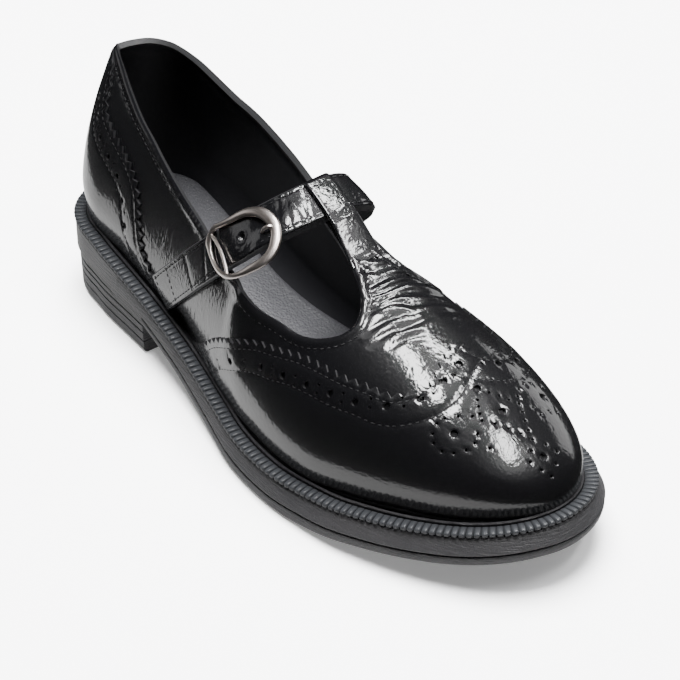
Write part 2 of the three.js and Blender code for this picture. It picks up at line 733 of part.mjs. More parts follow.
// Part of the strap's slanting band between two places along it, widened by spare
const innerSkew = 0.28;
function bandPrism(from, to, spare, side) {
  const wide = strapHalf + spare;
  const corners = [[from, -wide], [from, wide], [to, wide], [to, -wide]];
  const outline = corners.map(([t, w]) => sideView(t, w));
  return sidePrism(outline, sideView((from + to) / 2, 0), side, 0, side > 0 ? 0 : innerSkew);
}
const farAlong = 2 * collarHeight;
const strapBand = bothSides((side) => bandPrism(-farAlong, farAlong, 0, side));
const strapRoom = bothSides((side) => bandPrism(-farAlong, farAlong, gap, side));

function counterPrism(side) {
  const edge = smoothLine(counterEdge.map((row) => [row.at * soleLength, row.height * collarHeight]), 2);
  const [front, top] = [edge[edge.length - 1][0], edge[0][0]];
  const outline = [[top, above], ...edge, [front, 0], [behind, 0], [behind, above]];
  return sidePrism(outline, [0.8 * behind, 0.3 * collarHeight], side, 0);
}
const counterTop = bothSides((side) => collarPrism(side, bindingWidth));
addPiece('heel_counter',
  overlay.intersect(bothSides(counterPrism)).subtract(counterTop).subtract(strapRoom), patent);

// Insole inside the upper, on the midsole
const sockHeight = (y) => weltTop(y) - channelDepth + gap;
const insoleSlab = slab(0, soleLength, 32, [
  { inset: 2, height: sockHeight },
  { inset: 2, height: (y) => sockHeight(y) + insoleThickness },
]);
addPiece('insole', form(wall + gap, 4, 26, 10).intersect(insoleSlab), sock);

// Point at a level above the form, seen along the buckle's facing at t along the strap and w across
const facing = new THREE.Vector3(buckleFaces.x, buckleFaces.y, buckleFaces.z).normalize();
const across = new THREE.Vector3(-0.59, 0.556, 0.59).cross(facing).normalize();
const upStrap = new THREE.Vector3().crossVectors(facing, across);
function overForm(t, w, level) {
  const start = new THREE.Vector3(buckleAt.x, buckleAt.y, buckleAt.z)
    .addScaledVector(upStrap, t).addScaledVector(across, w);
  let [low, high] = [-25, 25];
  for (let i = 0; i < 30; i += 1) {
    const middle = (low + high) / 2;
    const { x, y, z } = start.clone().addScaledVector(facing, middle);
    const { wide } = sectionOf(y - upperBack, 1, -level);
    if (x < wide && z < heightAt(y, x, -level)) low = middle;
    else high = middle;
  }
  return start.addScaledVector(facing, low);
}

// Solid from rings of corners given as t, w and level
function onStrap(rings, closed) {
  const place = ({ t, w, level }) => overForm(t, w, level);
  return solidFrom(loftGeometry(rings.map((ring) => ring.map(place)), closed));
}

// Straight bar across or along the strap
function block(t0, t1, w0, w1, low, high) {
  const steps = 5;
  const along0 = t1 - t0 > w1 - w0;
  const rings = [];
  for (let i = 0; i <= steps; i += 1) {
    const t = t0 + (t1 - t0) * i / steps;
    const w = w0 + (w1 - w0) * i / steps;
    rings.push(along0
      ? [{ t, w: w0, level: low }, { t, w: w1, level: low }, { t, w: w1, level: high },
        { t, w: w0, level: high }]
      : [{ t: t0, w, level: low }, { t: t1, w, level: low }, { t: t1, w, level: high },
        { t: t0, w, level: high }]);
  }
  return onStrap(rings, false);
}

// Cross strap: skived thin under the buckle's left side, with a hole and a groove for the prong
const strapTop = gap + strapThickness;
const tailEnd = -14.2;
const tongueEnd = -11.8;
const barMiddle = -9;
const barHalf = barThickness / 2;
const skiveTop = gap + skiveThickness;
const prongAcross = 1.7;
const prongHalf = prongWidth / 2;
const prongTop = prongLine[0].level + prongThickness;
const strapShell = cover(gap, strapTop).intersect(strapBand);
const skiveRoom = over(skiveTop + gap).intersect(bandPrism(tailEnd - 2, tongueEnd + 6, 4, 1));
const prongRoom = (t0, t1, high) => block(t0, t1, prongAcross - prongHalf - gap,
  prongAcross + prongHalf + gap, -1, high);
const clearOfBar = (w0, w1, high) => block(barMiddle - barHalf - gap, barMiddle + barHalf + gap,
  w0, w1, -1, high);
const barRoom = clearOfBar(-11.9, 10.9, barThickness + 2 * gap)
  .add(clearOfBar(-12.5, -10.3, strapTop + 1));
const crossStrap = strapShell.subtract(bandPrism(-farAlong, tailEnd, 4, 1))
  .subtract(skiveRoom)
  .subtract(barRoom)
  .subtract(prongRoom(barMiddle, 8, prongTop + gap))
  .subtract(prongRoom(3.9, 10.8, strapTop + 2));
addPiece('cross_strap', crossStrap, patent);

// Strap anchor on the outer quarter, with a thin tongue that runs in under the tail to the bar
const tongue = over(skiveTop).subtract(base).intersect(bandPrism(tailEnd - 1, tongueEnd, 0, 1));
const anchorPiece = strapShell.intersect(bandPrism(-farAlong, tailEnd - gap, 0, 1)).add(tongue);
addPiece('strap_anchor', anchorPiece.subtract(barRoom), patent);

// Loop at the T-bar's end, over the strap
function loopSolid() {
  const rings = [];
  const steps = 4;
  for (let i = 0; i <= steps; i += 1) {
    const point = (at, level) => {
      const from = upperWidth * (at < 0.57 ? -0.177 : -0.180);
      const to = upperWidth * (at < 0.57 ? -0.037 : -0.027);
      const x = from + (to - from) * i / steps;
      const y = at * soleLength;
      return { x, y, z: heightAt(y, x, -level) };
    };
    const top = loopLine.map(({ at, level }) => point(at, level));
    const bottom = loopLine.map(({ at }) => point(at, gap)).reverse();
    rings.push([...top, ...bottom]);
  }
  return solidFrom(loftGeometry(rings, false));
}
addPiece('t_bar_loop', loopSolid().subtract(over(strapTop + gap).intersect(strapRoom)), patent);

// Buckle: frame over the strap, bar under it, prong up through the strap's hole
const frameLow = strapTop + gap;
const frameHigh = frameLow + frameThickness;
const frameRings = frameOuter.map((outer, i) => {
  const inner = frameInner[i];
  const mix = (share, level) => ({
    t: outer.t + (inner.t - outer.t) * share,
    w: outer.w + (inner.w - outer.w) * share,
    level,
  });
  return [mix(0, frameLow), mix(0.08, frameHigh - 0.6), mix(0.3, frameHigh), mix(0.7, frameHigh),
    mix(0.92, frameHigh - 0.6), mix(1, frameLow)];
});
addPiece('buckle_frame', onStrap(frameRings, true), metal);

const barBlock = (w0, w1, high) => block(barMiddle - barHalf, barMiddle + barHalf, w0, w1, gap, high);
const barPost = frameLow - gap;
const bar = barBlock(-11.6, 10.6, gap + barThickness).add(barBlock(-11.6, -10.6, barPost))
  .add(barBlock(9.4, 10.6, barPost));
addPiece('buckle_bar', bar, metal);

const prongRings = prongLine.map(({ t, level }) => {
  const climbing = level > 1 && level < 5;
  const back = climbing ? 0.7 : 0;
  const [w0, w1] = [prongAcross - prongHalf, prongAcross + prongHalf];
  const high = level + prongThickness;
  return [{ t, w: w0, level }, { t, w: w1, level }, { t: t - back, w: w1, level: high },
    { t: t - back, w: w0, level: high }];
});
addPiece('buckle_prong', onStrap(prongRings, false), metal);

// The origin is under the middle of the whole shoe
const box = new THREE.Box3().setFromObject(shoe);
const centre = box.getCenter(new THREE.Vector3());
shoe.position.set(-centre.x, -centre.y, -box.min.z);

export default shoe;
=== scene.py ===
import math

import bpy
import numpy as np
from mathutils import Matrix, Vector
from mathutils.geometry import delaunay_2d_cdt


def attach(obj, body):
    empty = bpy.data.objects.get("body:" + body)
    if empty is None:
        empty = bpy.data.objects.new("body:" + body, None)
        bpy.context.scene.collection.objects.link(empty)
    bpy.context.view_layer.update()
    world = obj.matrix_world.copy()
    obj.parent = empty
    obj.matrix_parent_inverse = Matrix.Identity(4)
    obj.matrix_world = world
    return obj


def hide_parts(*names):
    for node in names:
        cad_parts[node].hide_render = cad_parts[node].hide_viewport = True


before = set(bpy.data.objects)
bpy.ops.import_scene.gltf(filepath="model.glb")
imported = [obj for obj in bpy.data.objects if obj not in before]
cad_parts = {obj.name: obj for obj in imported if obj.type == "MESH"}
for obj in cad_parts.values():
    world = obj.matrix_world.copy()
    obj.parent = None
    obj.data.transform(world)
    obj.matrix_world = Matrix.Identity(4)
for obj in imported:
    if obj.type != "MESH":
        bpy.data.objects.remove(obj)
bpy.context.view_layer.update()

# Photographer's table: a roll of white seamless paper, matt, curved up behind the shoe. Soft
# boxes hang over it. The camera is in front of the toe, to the outer side, 37 degrees up.
SHOE_MIDDLE = (0.349, 135.365, 0.0)
CHART_UNIT = 100
PAPER_WHITE, REFLECTION_GLOW_GREY = "#f4f4f5", "#686868"
SHEET_HALF, SHEET_FRONT, SHEET_BACK, SHEET_ROLL = 3500, 1500, -2600, 500
PAPER_LIFT, ROOM_LIGHT = 0.02, 0.03
EYE = (318.406, 570.164, 432.518)
EYE_RIGHT = (-0.79293, 0.60932, 0.0)
EYE_UP = (-0.36686, -0.47742, 0.79843)
LENS_LENGTH, SENSOR_WIDTH = 93.85, 36.0


def place(points):
    """Millimetres counted from the back of the heel, to metres in the part's frame."""
    return (np.asarray(points, float) - SHOE_MIDDLE) / 1000


def linear(hex_colour):
    """Linear colour, with full alpha, of an sRGB hex value."""
    parts = [int(hex_colour[i:i + 2], 16) / 255 for i in (1, 3, 5)]
    return [c / 12.92 if c <= 0.04045 else ((c + 0.055) / 1.055) ** 2.4 for c in parts] + [1.0]


def finish_called(name):
    """An empty material and its node tree."""
    material = bpy.data.materials.new(name)
    material.use_nodes = True
    material.node_tree.nodes.clear()
    return material, material.node_tree


def add(tree, kind, inputs, **settings):
    """A node with its settings, and with its inputs set or linked."""
    made = tree.nodes.new("ShaderNode" + kind)
    for key, value in settings.items():
        setattr(made, key, value)
    for key, value in inputs.items():
        if isinstance(value, bpy.types.NodeSocket):
            tree.links.new(value, made.inputs[key])
        else:
            made.inputs[key].default_value = value
    return made


def piece_from(name, points, faces, materials, which=None, chart=None, crease_angle=40):
    """An object of shaded faces from points in millimetres, with the chart as its UV map."""
    mesh = bpy.data.meshes.new(name)
    mesh.from_pydata(place(points).tolist(), [], [list(map(int, f)) for f in faces])
    for material in materials:
        mesh.materials.append(material)
    if which is not None:
        mesh.polygons.foreach_set("material_index", np.asarray(which, np.int32))
    if chart is not None:
        corners = np.zeros(len(mesh.loops), np.int32)
        mesh.loops.foreach_get("vertex_index", corners)
        layer = mesh.uv_layers.new(name="chart")
        spots = np.asarray(chart, float)[corners] / CHART_UNIT
        layer.data.foreach_set("uv", spots.astype(np.float32).ravel())
    mesh.polygons.foreach_set("use_smooth", np.ones(len(mesh.polygons), bool))
    mesh.set_sharp_from_angle(angle=math.radians(crease_angle))
    mesh.update()
    made = bpy.data.objects.new(name, mesh)
    bpy.context.scene.collection.objects.link(made)
    return made


def paper_sweep(paper):
    """The sheet, level under the shoe and rolled up behind it."""
    rows = [(SHEET_FRONT, 0), (SHEET_BACK, 0)]
    rows += [(SHEET_BACK - SHEET_ROLL * math.sin(a), SHEET_ROLL - SHEET_ROLL * math.cos(a))
             for a in np.linspace(0.1, 1.5, 12)]
    points = [(x, y, z) for y, z in rows[::-1] for x in (-SHEET_HALF, 0, SHEET_HALF)]
    faces = [(3 * r + k, 3 * r + k + 1, 3 * r + k + 4, 3 * r + k + 3)
             for r in range(len(rows) - 1) for k in range(2)]
    return piece_from("paper_sweep", points, faces, [paper])


def seamless_paper(name, colour, glow):
    """Matt paper with a fine tooth, which also glows evenly by so much."""
    material, tree = finish_called(name)
    tooth = add(tree, "TexNoise", {"Scale": 900.0, "Detail": 2.0})
    bump = add(tree, "Bump", {"Strength": 0.05, "Distance": 0.0002, "Height": tooth.outputs["Fac"]})
    face = add(tree, "BsdfPrincipled", {
        "Base Color": linear(colour), "Roughness": 0.9, "Normal": bump.outputs[0],
        "Emission Color": linear("#ffffff"), "Emission Strength": glow})
    add(tree, "OutputMaterial", {"Surface": face.outputs[0]})
    return material


# Painted reflection: the leather mirrors a grey glowing sheet for the lit middle of the paper
REFLECTION_SHEET_EDGE = [
    (88, 230), (84, 170), (82, 130), (88, 60), (100, 0), (125, -50), (140, -90), (110, -130),
    (56, -145), (-60, -130), (-100, 0), (-95, 200), (-60, 290), (0, 330), (70, 320), (110, 285)]
paper = seamless_paper("white_seamless_paper", PAPER_WHITE, 0.25)
painted_reflection_paper = seamless_paper("grey_glowing_reflection_paper", REFLECTION_GLOW_GREY, 0.45)
far_paper = paper_sweep(paper)
# The white paper is hidden from reflections, so beyond the glowing sheet the leather mirrors dark
far_paper.visible_glossy = False
# Painted reflection: the grey glowing sheet is seen in reflections only, not by camera, shadows or
# diffuse light
reflection_sheet = piece_from("glowing_reflection_sheet", [(x, y, PAPER_LIFT) for x, y in REFLECTION_SHEET_EDGE],
                        [tuple(range(len(REFLECTION_SHEET_EDGE)))], [painted_reflection_paper])
reflection_sheet.visible_camera = reflection_sheet.visible_shadow = reflection_sheet.visible_diffuse = False

lens = bpy.data.cameras.new("camera")
lens.lens, lens.sensor_width = LENS_LENGTH, SENSOR_WIDTH
camera = bpy.data.objects.new("camera", lens)
bpy.context.scene.collection.objects.link(camera)
eye_back = np.cross(EYE_RIGHT, EYE_UP)
camera.matrix_world = Matrix([
    [EYE_RIGHT[k], EYE_UP[k], eye_back[k], place(EYE)[k]] for k in range(3)] + [[0, 0, 0, 1]])
lens.clip_start, lens.clip_end = 0.05, 30
bpy.context.scene.camera = camera


def soft_box(name, spot, aim, size, watts, shape="RECTANGLE"):
    """A flat lamp at a spot in millimetres, facing the aim; its size is in metres."""
    lamp = bpy.data.lights.new(name, "AREA")
    lamp.shape, lamp.size, lamp.size_y, lamp.energy = shape, size[0], size[1], watts
    made = bpy.data.objects.new(name, lamp)
    bpy.context.scene.collection.objects.link(made)
    made.location = place(spot)
    made.rotation_mode = "QUATERNION"
    made.rotation_quaternion = Vector(place(spot) - place(aim)).to_track_quat("Z", "Y")
    return made


soft_box("box_instep", (-100, 60, 1060), (0, 150, 40), (1.00, 0.36), 0.9)
soft_box("box_instep_left", (-390, 0, 1055), (0, 170, 60), (0.46, 0.10), 7)
soft_box("box_instep_right", (-30, 185, 1055), (0, 170, 60), (0.36, 0.17), 9)
soft_box("box_toe", (-150, 850, 1060), (0, 240, 40), (1.30, 0.60), 0.6, "ELLIPSE")
soft_box("box_toe_mid", (-220, 720, 1050), (0, 240, 40), (0.80, 0.35), 0.9, "ELLIPSE")
soft_box("box_toe_core", (-280, 590, 1040), (0, 240, 40), (0.42, 0.14), 5, "ELLIPSE")
soft_box("box_inner_side", (-900, 230, 330), (0, 150, 30), (0.5, 0.4), 1.5)
soft_box("box_heel_side", (480, -660, 460), (20, 120, 70), (0.5, 0.4), 0.5)
ceiling = soft_box("ceiling_bounce", (-200, -350, 2000), (0, 135, 0), (1.4, 1.4), 372)
ceiling.visible_glossy = False
room = bpy.data.worlds.new("studio")
bpy.context.scene.world = room
room.use_nodes = True
background = room.node_tree.nodes["Background"]
background.inputs["Color"].default_value = linear("#ffffff")
background.inputs["Strength"].default_value = ROOM_LIGHT

# Heel of the unit sole: a top lift on the floor and a low block with stack lines in its side.
# Moulded thermoplastic rubber, dark grey and matt; the lift is a harder layer glued on below.
SOLE_LENGTH, SOLE_WIDTH, HEEL_RISE, TOE_SPRING = 268.0, 96.0, 35.6, 13.6
HEEL_ROUND, TOE_ROUND, BREAST, LIFT, BLOCK = 31.0, 63.0, 75.0, 5.4, 19.8
HEEL_POWER, TOE_POWER, HEEL_INSET, GAP = 2.2, 2, 0.8, 0.3
WAIST, WAIST_RUN, MIDSOLE_THICK = 0.2, 0.1, 8.5
STACK_LINES = (0.50, 0.68, 0.83)
LINE_HALF, LINE_FLOOR, LINE_DEEP, LINE_END, LINE_FADE = 0.42, 0.12, 0.75, 55, 20
SOLE_OUTLINE = [
    # share of the length; middle line and half width as shares of the width
    (0, .006, .338), (.116, .016, .346), (.168, .023, .354), (.224, .034, .348),
    (.280, .045, .342), (.336, .052, .343), (.392, .053, .356), (.448, .052, .381),
    (.504, .050, .412), (.560, .045, .448), (.616, .030, .476), (.672, .015, .486),
    (.728, -.005, .480), (.765, -.018, .471), (.821, -.048, .458), (.896, -.088, .458),
    (1, -.125, .469)]
SOLE_TOP = [
    # share of the length; height as a share of the heel's rise
    (0, 1.000), (.075, .994), (.168, .933), (.224, .862), (.280, .778), (.336, .688),
    (.392, .601), (.448, .525), (.504, .463), (.560, .417), (.616, .396), (.672, .396),
    (.728, .421), (.784, .466), (.858, .545), (.933, .646), (1, .756)]
RUBBER_GREY, RUBBER_WORN = "#18181a", "#232223"


def along(table, column, at):
    """Smooth value of one column of a table at places between its rows."""
    rows = np.array(table, float)
    x, v = rows[:, 0], rows[:, column]
    at = np.clip(at, x[0], x[-1])
    i = np.clip(np.searchsorted(x, at, side="left") - 1, 0, len(x) - 2)
    count = np.arange(len(x))
    before, after = np.maximum(count - 1, 0), np.minimum(count + 1, len(x) - 1)
    slope = (v[after] - v[before]) / (x[after] - x[before])
    span = x[i + 1] - x[i]
    t = (at - x[i]) / span
    ends = v[i] * (1 + 2 * t) * (1 - t) ** 2 + v[i + 1] * t * t * (3 - 2 * t)
    return ends + span * (slope[i] * t * (1 - t) ** 2 - slope[i + 1] * t * t * (1 - t))


def rounding(distance, reach, power):
    """Share of the full width left at a distance from a rounded end."""
    share = np.clip(1 - distance / reach, 0, 1)
    return (1 - share ** power) ** (1 / power)


def welt_top(y):
    """Height of the welt's top over the floor."""
    return HEEL_RISE * along(SOLE_TOP, 1, y / SOLE_LENGTH)


def sole_edge(y, side):
    """How far out the sole reaches at y, on its outer side, 1, or its inner side, -1."""
    ends = rounding(y, HEEL_ROUND, HEEL_POWER) * rounding(SOLE_LENGTH - y, TOE_ROUND, TOE_POWER)
    share = y / SOLE_LENGTH
    half = along(SOLE_OUTLINE, 2, share) * ends
    return SOLE_WIDTH * (along(SOLE_OUTLINE, 1, share) + side * half)


def sole_outline(start, stop, pairs):
    """Points round the sole with their outward directions, from the heel by the outer side."""
    turn = np.arccos(1 - 2 * np.array([start, stop]) / SOLE_LENGTH)
    steps = turn[0] + (turn[1] - turn[0]) * (np.arange(pairs) + 0.5) / pairs
    y = SOLE_LENGTH * (1 - np.cos(steps)) / 2
    sides = []
    for side in (1, -1):
        low, high = np.maximum(0, y - 0.05), np.minimum(SOLE_LENGTH, y + 0.05)
        dx, dy = sole_edge(high, side) - sole_edge(low, side), high - low
        size = np.hypot(dx, dy)
        row = np.stack([sole_edge(y, side), y, side * dy / size, -side * dx / size], 1)
        sides.append(row if side > 0 else row[::-1])
    return np.concatenate(sides)


def midsole_bottom(y):
    """Height of the midsole's underside: level on the heel block, then along the welt."""
    share = np.clip((y / SOLE_LENGTH - WAIST) / WAIST_RUN, 0, 1)
    blend = share * share * (3 - 2 * share)
    return BLOCK * (1 - blend) + np.minimum(welt_top(y) - MIDSOLE_THICK, BLOCK) * blend


def skinned(rings, around, turned=False, closed=False):
    """Faces between rings of so many points around; turned ones face the other way."""
    faces = []
    for r in range(rings if closed else rings - 1):
        here, there = r * around, (r + 1) % rings * around
        for k in range(around):
            l = (k + 1) % around
            a, b, c, d = here + k, here + l, there + l, there + k
            faces.append((a, d, c, b) if turned else (a, b, c, d))
    return faces


def laddered_ends(rings, around, turned=False):
    """Faces that close the first and the last ring from its one side across to the other."""
    last, faces = (rings - 1) * around, []
    for k in range(around // 2 - 1):
        across = (around - 1 - k, around - 2 - k, k + 1, k)
        across = across[::-1] if turned else across
        faces += [across, tuple(last + corner for corner in across[::-1])]
    return faces


def sole_layer(name, start, stop, pairs, levels):
    """A layer of the sole between rings; a level is an inset and a height, each maybe of y."""
    edge = sole_outline(start, stop, pairs)
    points = []
    for inset, height in levels:
        depth = inset(edge[:, 1]) if callable(inset) else np.full(len(edge), float(inset))
        xy = edge[:, :2] - edge[:, 2:] * depth[:, None]
        z = height(xy[:, 1]) if callable(height) else np.full(len(edge), float(height))
        points.append(np.column_stack([xy, z]))
    faces = skinned(len(levels), len(edge)) + laddered_ends(len(levels), len(edge))
    return piece_from(name, np.concatenate(points), faces, [rubber], crease_angle=32)


def over(line, more):
    """A line of the sole moved in or up by so many millimetres."""
    return lambda y: line(y) + more


def seat(y):
    """Height of what lies a gap under the midsole."""
    return midsole_bottom(y) - GAP


def faded_line(y):
    """Inset of the top stack line, which fades out toward the breast."""
    return HEEL_INSET + LINE_DEEP * np.clip((LINE_END - y) / LINE_FADE, 0, 1)


# Moulded rubber: a soft wide shine, fine level draw lines from the mould on its side, small pores.
rubber, tree = finish_called("moulded_rubber")
where = add(tree, "TexCoord", {})
draw = add(tree, "Mapping", {"Vector": where.outputs["Object"], "Scale": (110, 110, 1700)})
lines = add(tree, "TexNoise", {"Vector": draw.outputs[0], "Scale": 1.0, "Detail": 3.0})
pores = add(tree, "TexNoise", {"Vector": where.outputs["Object"], "Scale": 1800.0, "Detail": 2.0})
relief = add(tree, "Math", {0: lines.outputs["Fac"], 1: 1.6, 2: pores.outputs["Fac"]},
             operation="MULTIPLY_ADD")
rubber_bump = add(tree, "Bump", {"Strength": 0.8, "Distance": 0.0004, "Height": relief.outputs[0]})
smudge = add(tree, "TexNoise", {"Vector": where.outputs["Object"], "Scale": 38.0, "Detail": 5.0})
shade = add(tree, "Mix", {"Factor": smudge.outputs["Fac"], "A": linear(RUBBER_GREY),
                          "B": linear(RUBBER_WORN)}, data_type="RGBA")
rough = add(tree, "MapRange", {"Value": smudge.outputs["Fac"], "To Min": 0.42, "To Max": 0.6})
rubber_face = add(tree, "BsdfPrincipled", {
    "Base Color": shade.outputs["Result"], "Roughness": rough.outputs[0], "IOR": 1.5,
    "Normal": rubber_bump.outputs[0]})
add(tree, "OutputMaterial", {"Surface": rubber_face.outputs[0]})

lift = sole_layer("heel_lift", 0, BREAST, 90, [
    (HEEL_INSET + 1.6, 0), (HEEL_INSET + 0.9, 0.25), (HEEL_INSET + 0.35, 0.9),
    (HEEL_INSET, 1.7), (HEEL_INSET, LIFT - 0.3), (HEEL_INSET + 0.3, LIFT)])
block_levels = [(HEEL_INSET + 0.3, LIFT + GAP), (HEEL_INSET, LIFT + GAP + 0.3)]
for share in STACK_LINES:
    level = BLOCK * share
    floor = faded_line if share == STACK_LINES[-1] else HEEL_INSET + LINE_DEEP
    block_levels += [(HEEL_INSET, level - LINE_HALF), (floor, level - LINE_FLOOR),
                     (floor, level + LINE_FLOOR), (HEEL_INSET, level + LINE_HALF)]
block_levels += [(HEEL_INSET, over(seat, -0.3)), (HEEL_INSET + 0.3, seat)]
block = sole_layer("heel_stack", 0, BREAST, 90, block_levels)
for piece, node in ((lift, "top_lift"), (block, "heel_block")):
    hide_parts(node)
    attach(piece, "root")

# Tread and midsole of the unit: the lower layer with a rolled bottom edge under a groove, and
# the upper one with a near-upright side, its welt ledge, a rim and a channel by the leather.
# Both are moulded of the heel's rubber in one piece with it.
FLARE = 2.8
WELT_WIDTH, WELT_HIGH, RIM_WIDTH, RIM_HIGH, CHANNEL = 4.8, 2.0, 1.2, 0.7, 1.5
LEDGE = WELT_WIDTH + GAP
TREAD_LINE = [
    # share of the length; height as a share of the toe spring
    (.280, 1.075), (.336, .815), (.392, .560), (.448, .330), (.504, .150), (.560, .020),
    (.590, -.010), (.690, -.010), (.728, .055), (.784, .215), (.858, .450), (.933, .715), (1, 1)]


def flare(y):
    """Inset of the sole's side, negative where the forefoot flares out."""
    return -FLARE * along([(0.2, 0), (0.75, 1)], 1, y / SOLE_LENGTH)


def tread_bottom(y):
    """Height of the tread's underside over the floor."""
    return np.maximum(0, TOE_SPRING * along(TREAD_LINE, 1, y / SOLE_LENGTH))


def ledge_top(y):
    """Height of the ledge that carries the rand."""
    return welt_top(y) - WELT_HIGH - GAP


def rim_top(y):
    """Height of the raised line between rand and channel."""
    return welt_top(y) + RIM_HIGH


tread = sole_layer("sole_tread", BREAST + GAP, SOLE_LENGTH, 150, [
    (over(flare, 2.4), tread_bottom), (over(flare, 1.4), over(tread_bottom, 0.2)),
    (over(flare, 0.6), over(tread_bottom, 0.8)), (over(flare, 0.15), over(tread_bottom, 1.7)),
    (flare, over(tread_bottom, 2.6)), (flare, over(seat, -0.8)),
    (over(flare, 0.25), over(seat, -0.3)), (over(flare, 0.8), seat)])
midsole = sole_layer("sole_midsole", 0, SOLE_LENGTH, 190, [
    (over(flare, 0.8), midsole_bottom), (over(flare, 0.2), over(midsole_bottom, 0.3)),
    (flare, over(midsole_bottom, 0.9)), (lambda y: flare(y) * 0.1 + 0.3, over(ledge_top, -0.6)),
    (0.7, ledge_top), (LEDGE, ledge_top), (LEDGE, over(rim_top, -0.35)),
    (LEDGE + 0.3, rim_top), (LEDGE + RIM_WIDTH - 0.3, rim_top),
    (LEDGE + RIM_WIDTH, over(rim_top, -0.35)), (LEDGE + RIM_WIDTH, over(welt_top, -CHANNEL))])
for piece, node in ((tread, "tread"), (midsole, "midsole")):
    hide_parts(node)
    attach(piece, "root")

# False welt: a rand of the same rubber on the ledge, moulded with rounded ribs across it and
# dark gaps between them. Its ribs are rubbed a little smoother than the rest of the sole.
RIB_PITCH, RIB_DEEP, RIB_STEPS, RIB_ROUND = 2.6, 1.1, 10, 1.35
WELT_PROFILE = [
    # inset, height over the welt's top, share of the ribs' depth
    (0.35, -WELT_HIGH, 0.9), (-0.05, -WELT_HIGH + 0.5, 1), (-0.15, -0.9, 1), (0.15, -0.3, 1),
    (0.8, 0, 1), (2.4, 0.05, 0.9), (4.1, 0, 0.7), (WELT_WIDTH, -0.35, 0.2),
    (WELT_WIDTH, -WELT_HIGH, 0)]
RAND_GREY = "#1f2022"

# Rubbed rubber: a shade lighter, with a low shine on the ribs that a fine grit softens
rand, tree = finish_called("rubbed_rubber_rand")
where = add(tree, "TexCoord", {})
grit = add(tree, "TexNoise", {"Vector": where.outputs["Object"], "Scale": 1500.0, "Detail": 2.0})
rand_bump = add(tree, "Bump", {"Strength": 0.25, "Distance": 0.0001, "Height": grit.outputs["Fac"]})
rand_face = add(tree, "BsdfPrincipled", {
    "Base Color": linear(RAND_GREY), "Roughness": 0.42, "IOR": 1.5, "Normal": rand_bump.outputs[0]})
add(tree, "OutputMaterial", {"Surface": rand_face.outputs[0]})


def ribbed_rand():
    """The rand all round the sole, its profile sunk between the ribs."""
    fine = sole_outline(0, SOLE_LENGTH, 700)
    steps = np.hypot(*(np.roll(fine, -1, 0) - fine)[:, :2].T)
    reach = np.concatenate([[0], np.cumsum(steps)])
    ribs = round(reach[-1] / RIB_PITCH)
    spots = reach[-1] * np.arange(ribs * RIB_STEPS) / (ribs * RIB_STEPS)
    closed = np.concatenate([fine, fine[:1]])
    edge = np.stack([np.interp(spots, reach, closed[:, k]) for k in range(4)], 1)
    phase = (np.arange(len(edge)) % RIB_STEPS) / RIB_STEPS
    low = RIB_DEEP * (1 - np.clip(RIB_ROUND * np.sin(np.pi * phase), 0, 1) ** 0.5)
    rings = []
    for inset, height, share in WELT_PROFILE:
        depth = inset + (low * share if inset < 1 else 0)
        drop = low * share if height > -0.5 else 0
        xy = edge[:, :2] - edge[:, 2:] * np.reshape(depth, (-1, 1))
        rings.append(np.column_stack([xy, welt_top(xy[:, 1]) + height - drop]))
    faces = skinned(len(edge), len(WELT_PROFILE), turned=True, closed=True)
    return piece_from("welt_rand", np.stack(rings, 1).reshape(-1, 3), faces, [rand],
                      crease_angle=50)


welt = ribbed_rand()
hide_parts("welt_ribs")
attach(welt, "root")

# Upper: vamp with T-bar and quarters, one lasted shell of black creased patent leather, lined
# with smooth pigskin. Its edges are folded over, with a stitched row beside them.
UPPER_LENGTH, UPPER_BACK, UPPER_WIDTH, UPPER_TOE = 256.6, 4.3, 78.0, 60.0
INSTEP, COLLAR, WALL = 89.0, 101.0, 2.2
LAST_SECTIONS = [
    # place; feather edge's middle and half width; outer and inner stand; belly; ridge; its lean;
    # fullness on the outer and the inner side
    (.00, .020, .330, .020, .040, .16, 1.27, -.080, 1.35, 3.0),
    (.10, .028, .330, .015, .045, .16, 1.27, -.085, 1.38, 3.1),
    (.22, .044, .319, .015, .083, .15, 1.25, -.100, 1.50, 3.2),
    (.34, .065, .312, .015, .106, .12, 1.18, -.125, 1.70, 2.9),
    (.42, .073, .342, .015, .091, .11, 1.10, -.150, 1.85, 2.5),
    (.49, .069, .391, .015, .068, .10, 1.01, -.160, 2.10, 2.8),
    (.52, .064, .412, .015, .060, .10, .970, -.160, 2.45, 2.9),
    (.57, .052, .448, .015, .045, .10, .905, -.160, 2.10, 2.35),
    (.65, .030, .484, .014, .045, .10, .815, -.150, 2.05, 2.05),
    (.72, .000, .494, .013, .045, .10, .750, -.145, 2.10, 2.10),
    (.79, -.040, .469, .012, .051, .10, .690, -.145, 2.15, 2.15),
    (.86, -.085, .450, .012, .045, .10, .635, -.150, 2.20, 2.20),
    (.93, -.120, .445, .012, .040, .10, .590, -.155, 2.25, 2.25),
    (1.0, -.160, .445, .012, .030, .10, .560, -.165, 2.25, 2.25)]
BACK_LINE = [
    # share of the collar's height; how far forward the back leans, in heel rounds
    (.30, .120), (.42, .035), (.55, 0), (.68, .020), (.80, .080), (.92, .180), (1, .260),
    (1.3, .520)]
BACK_REACH = 1.6
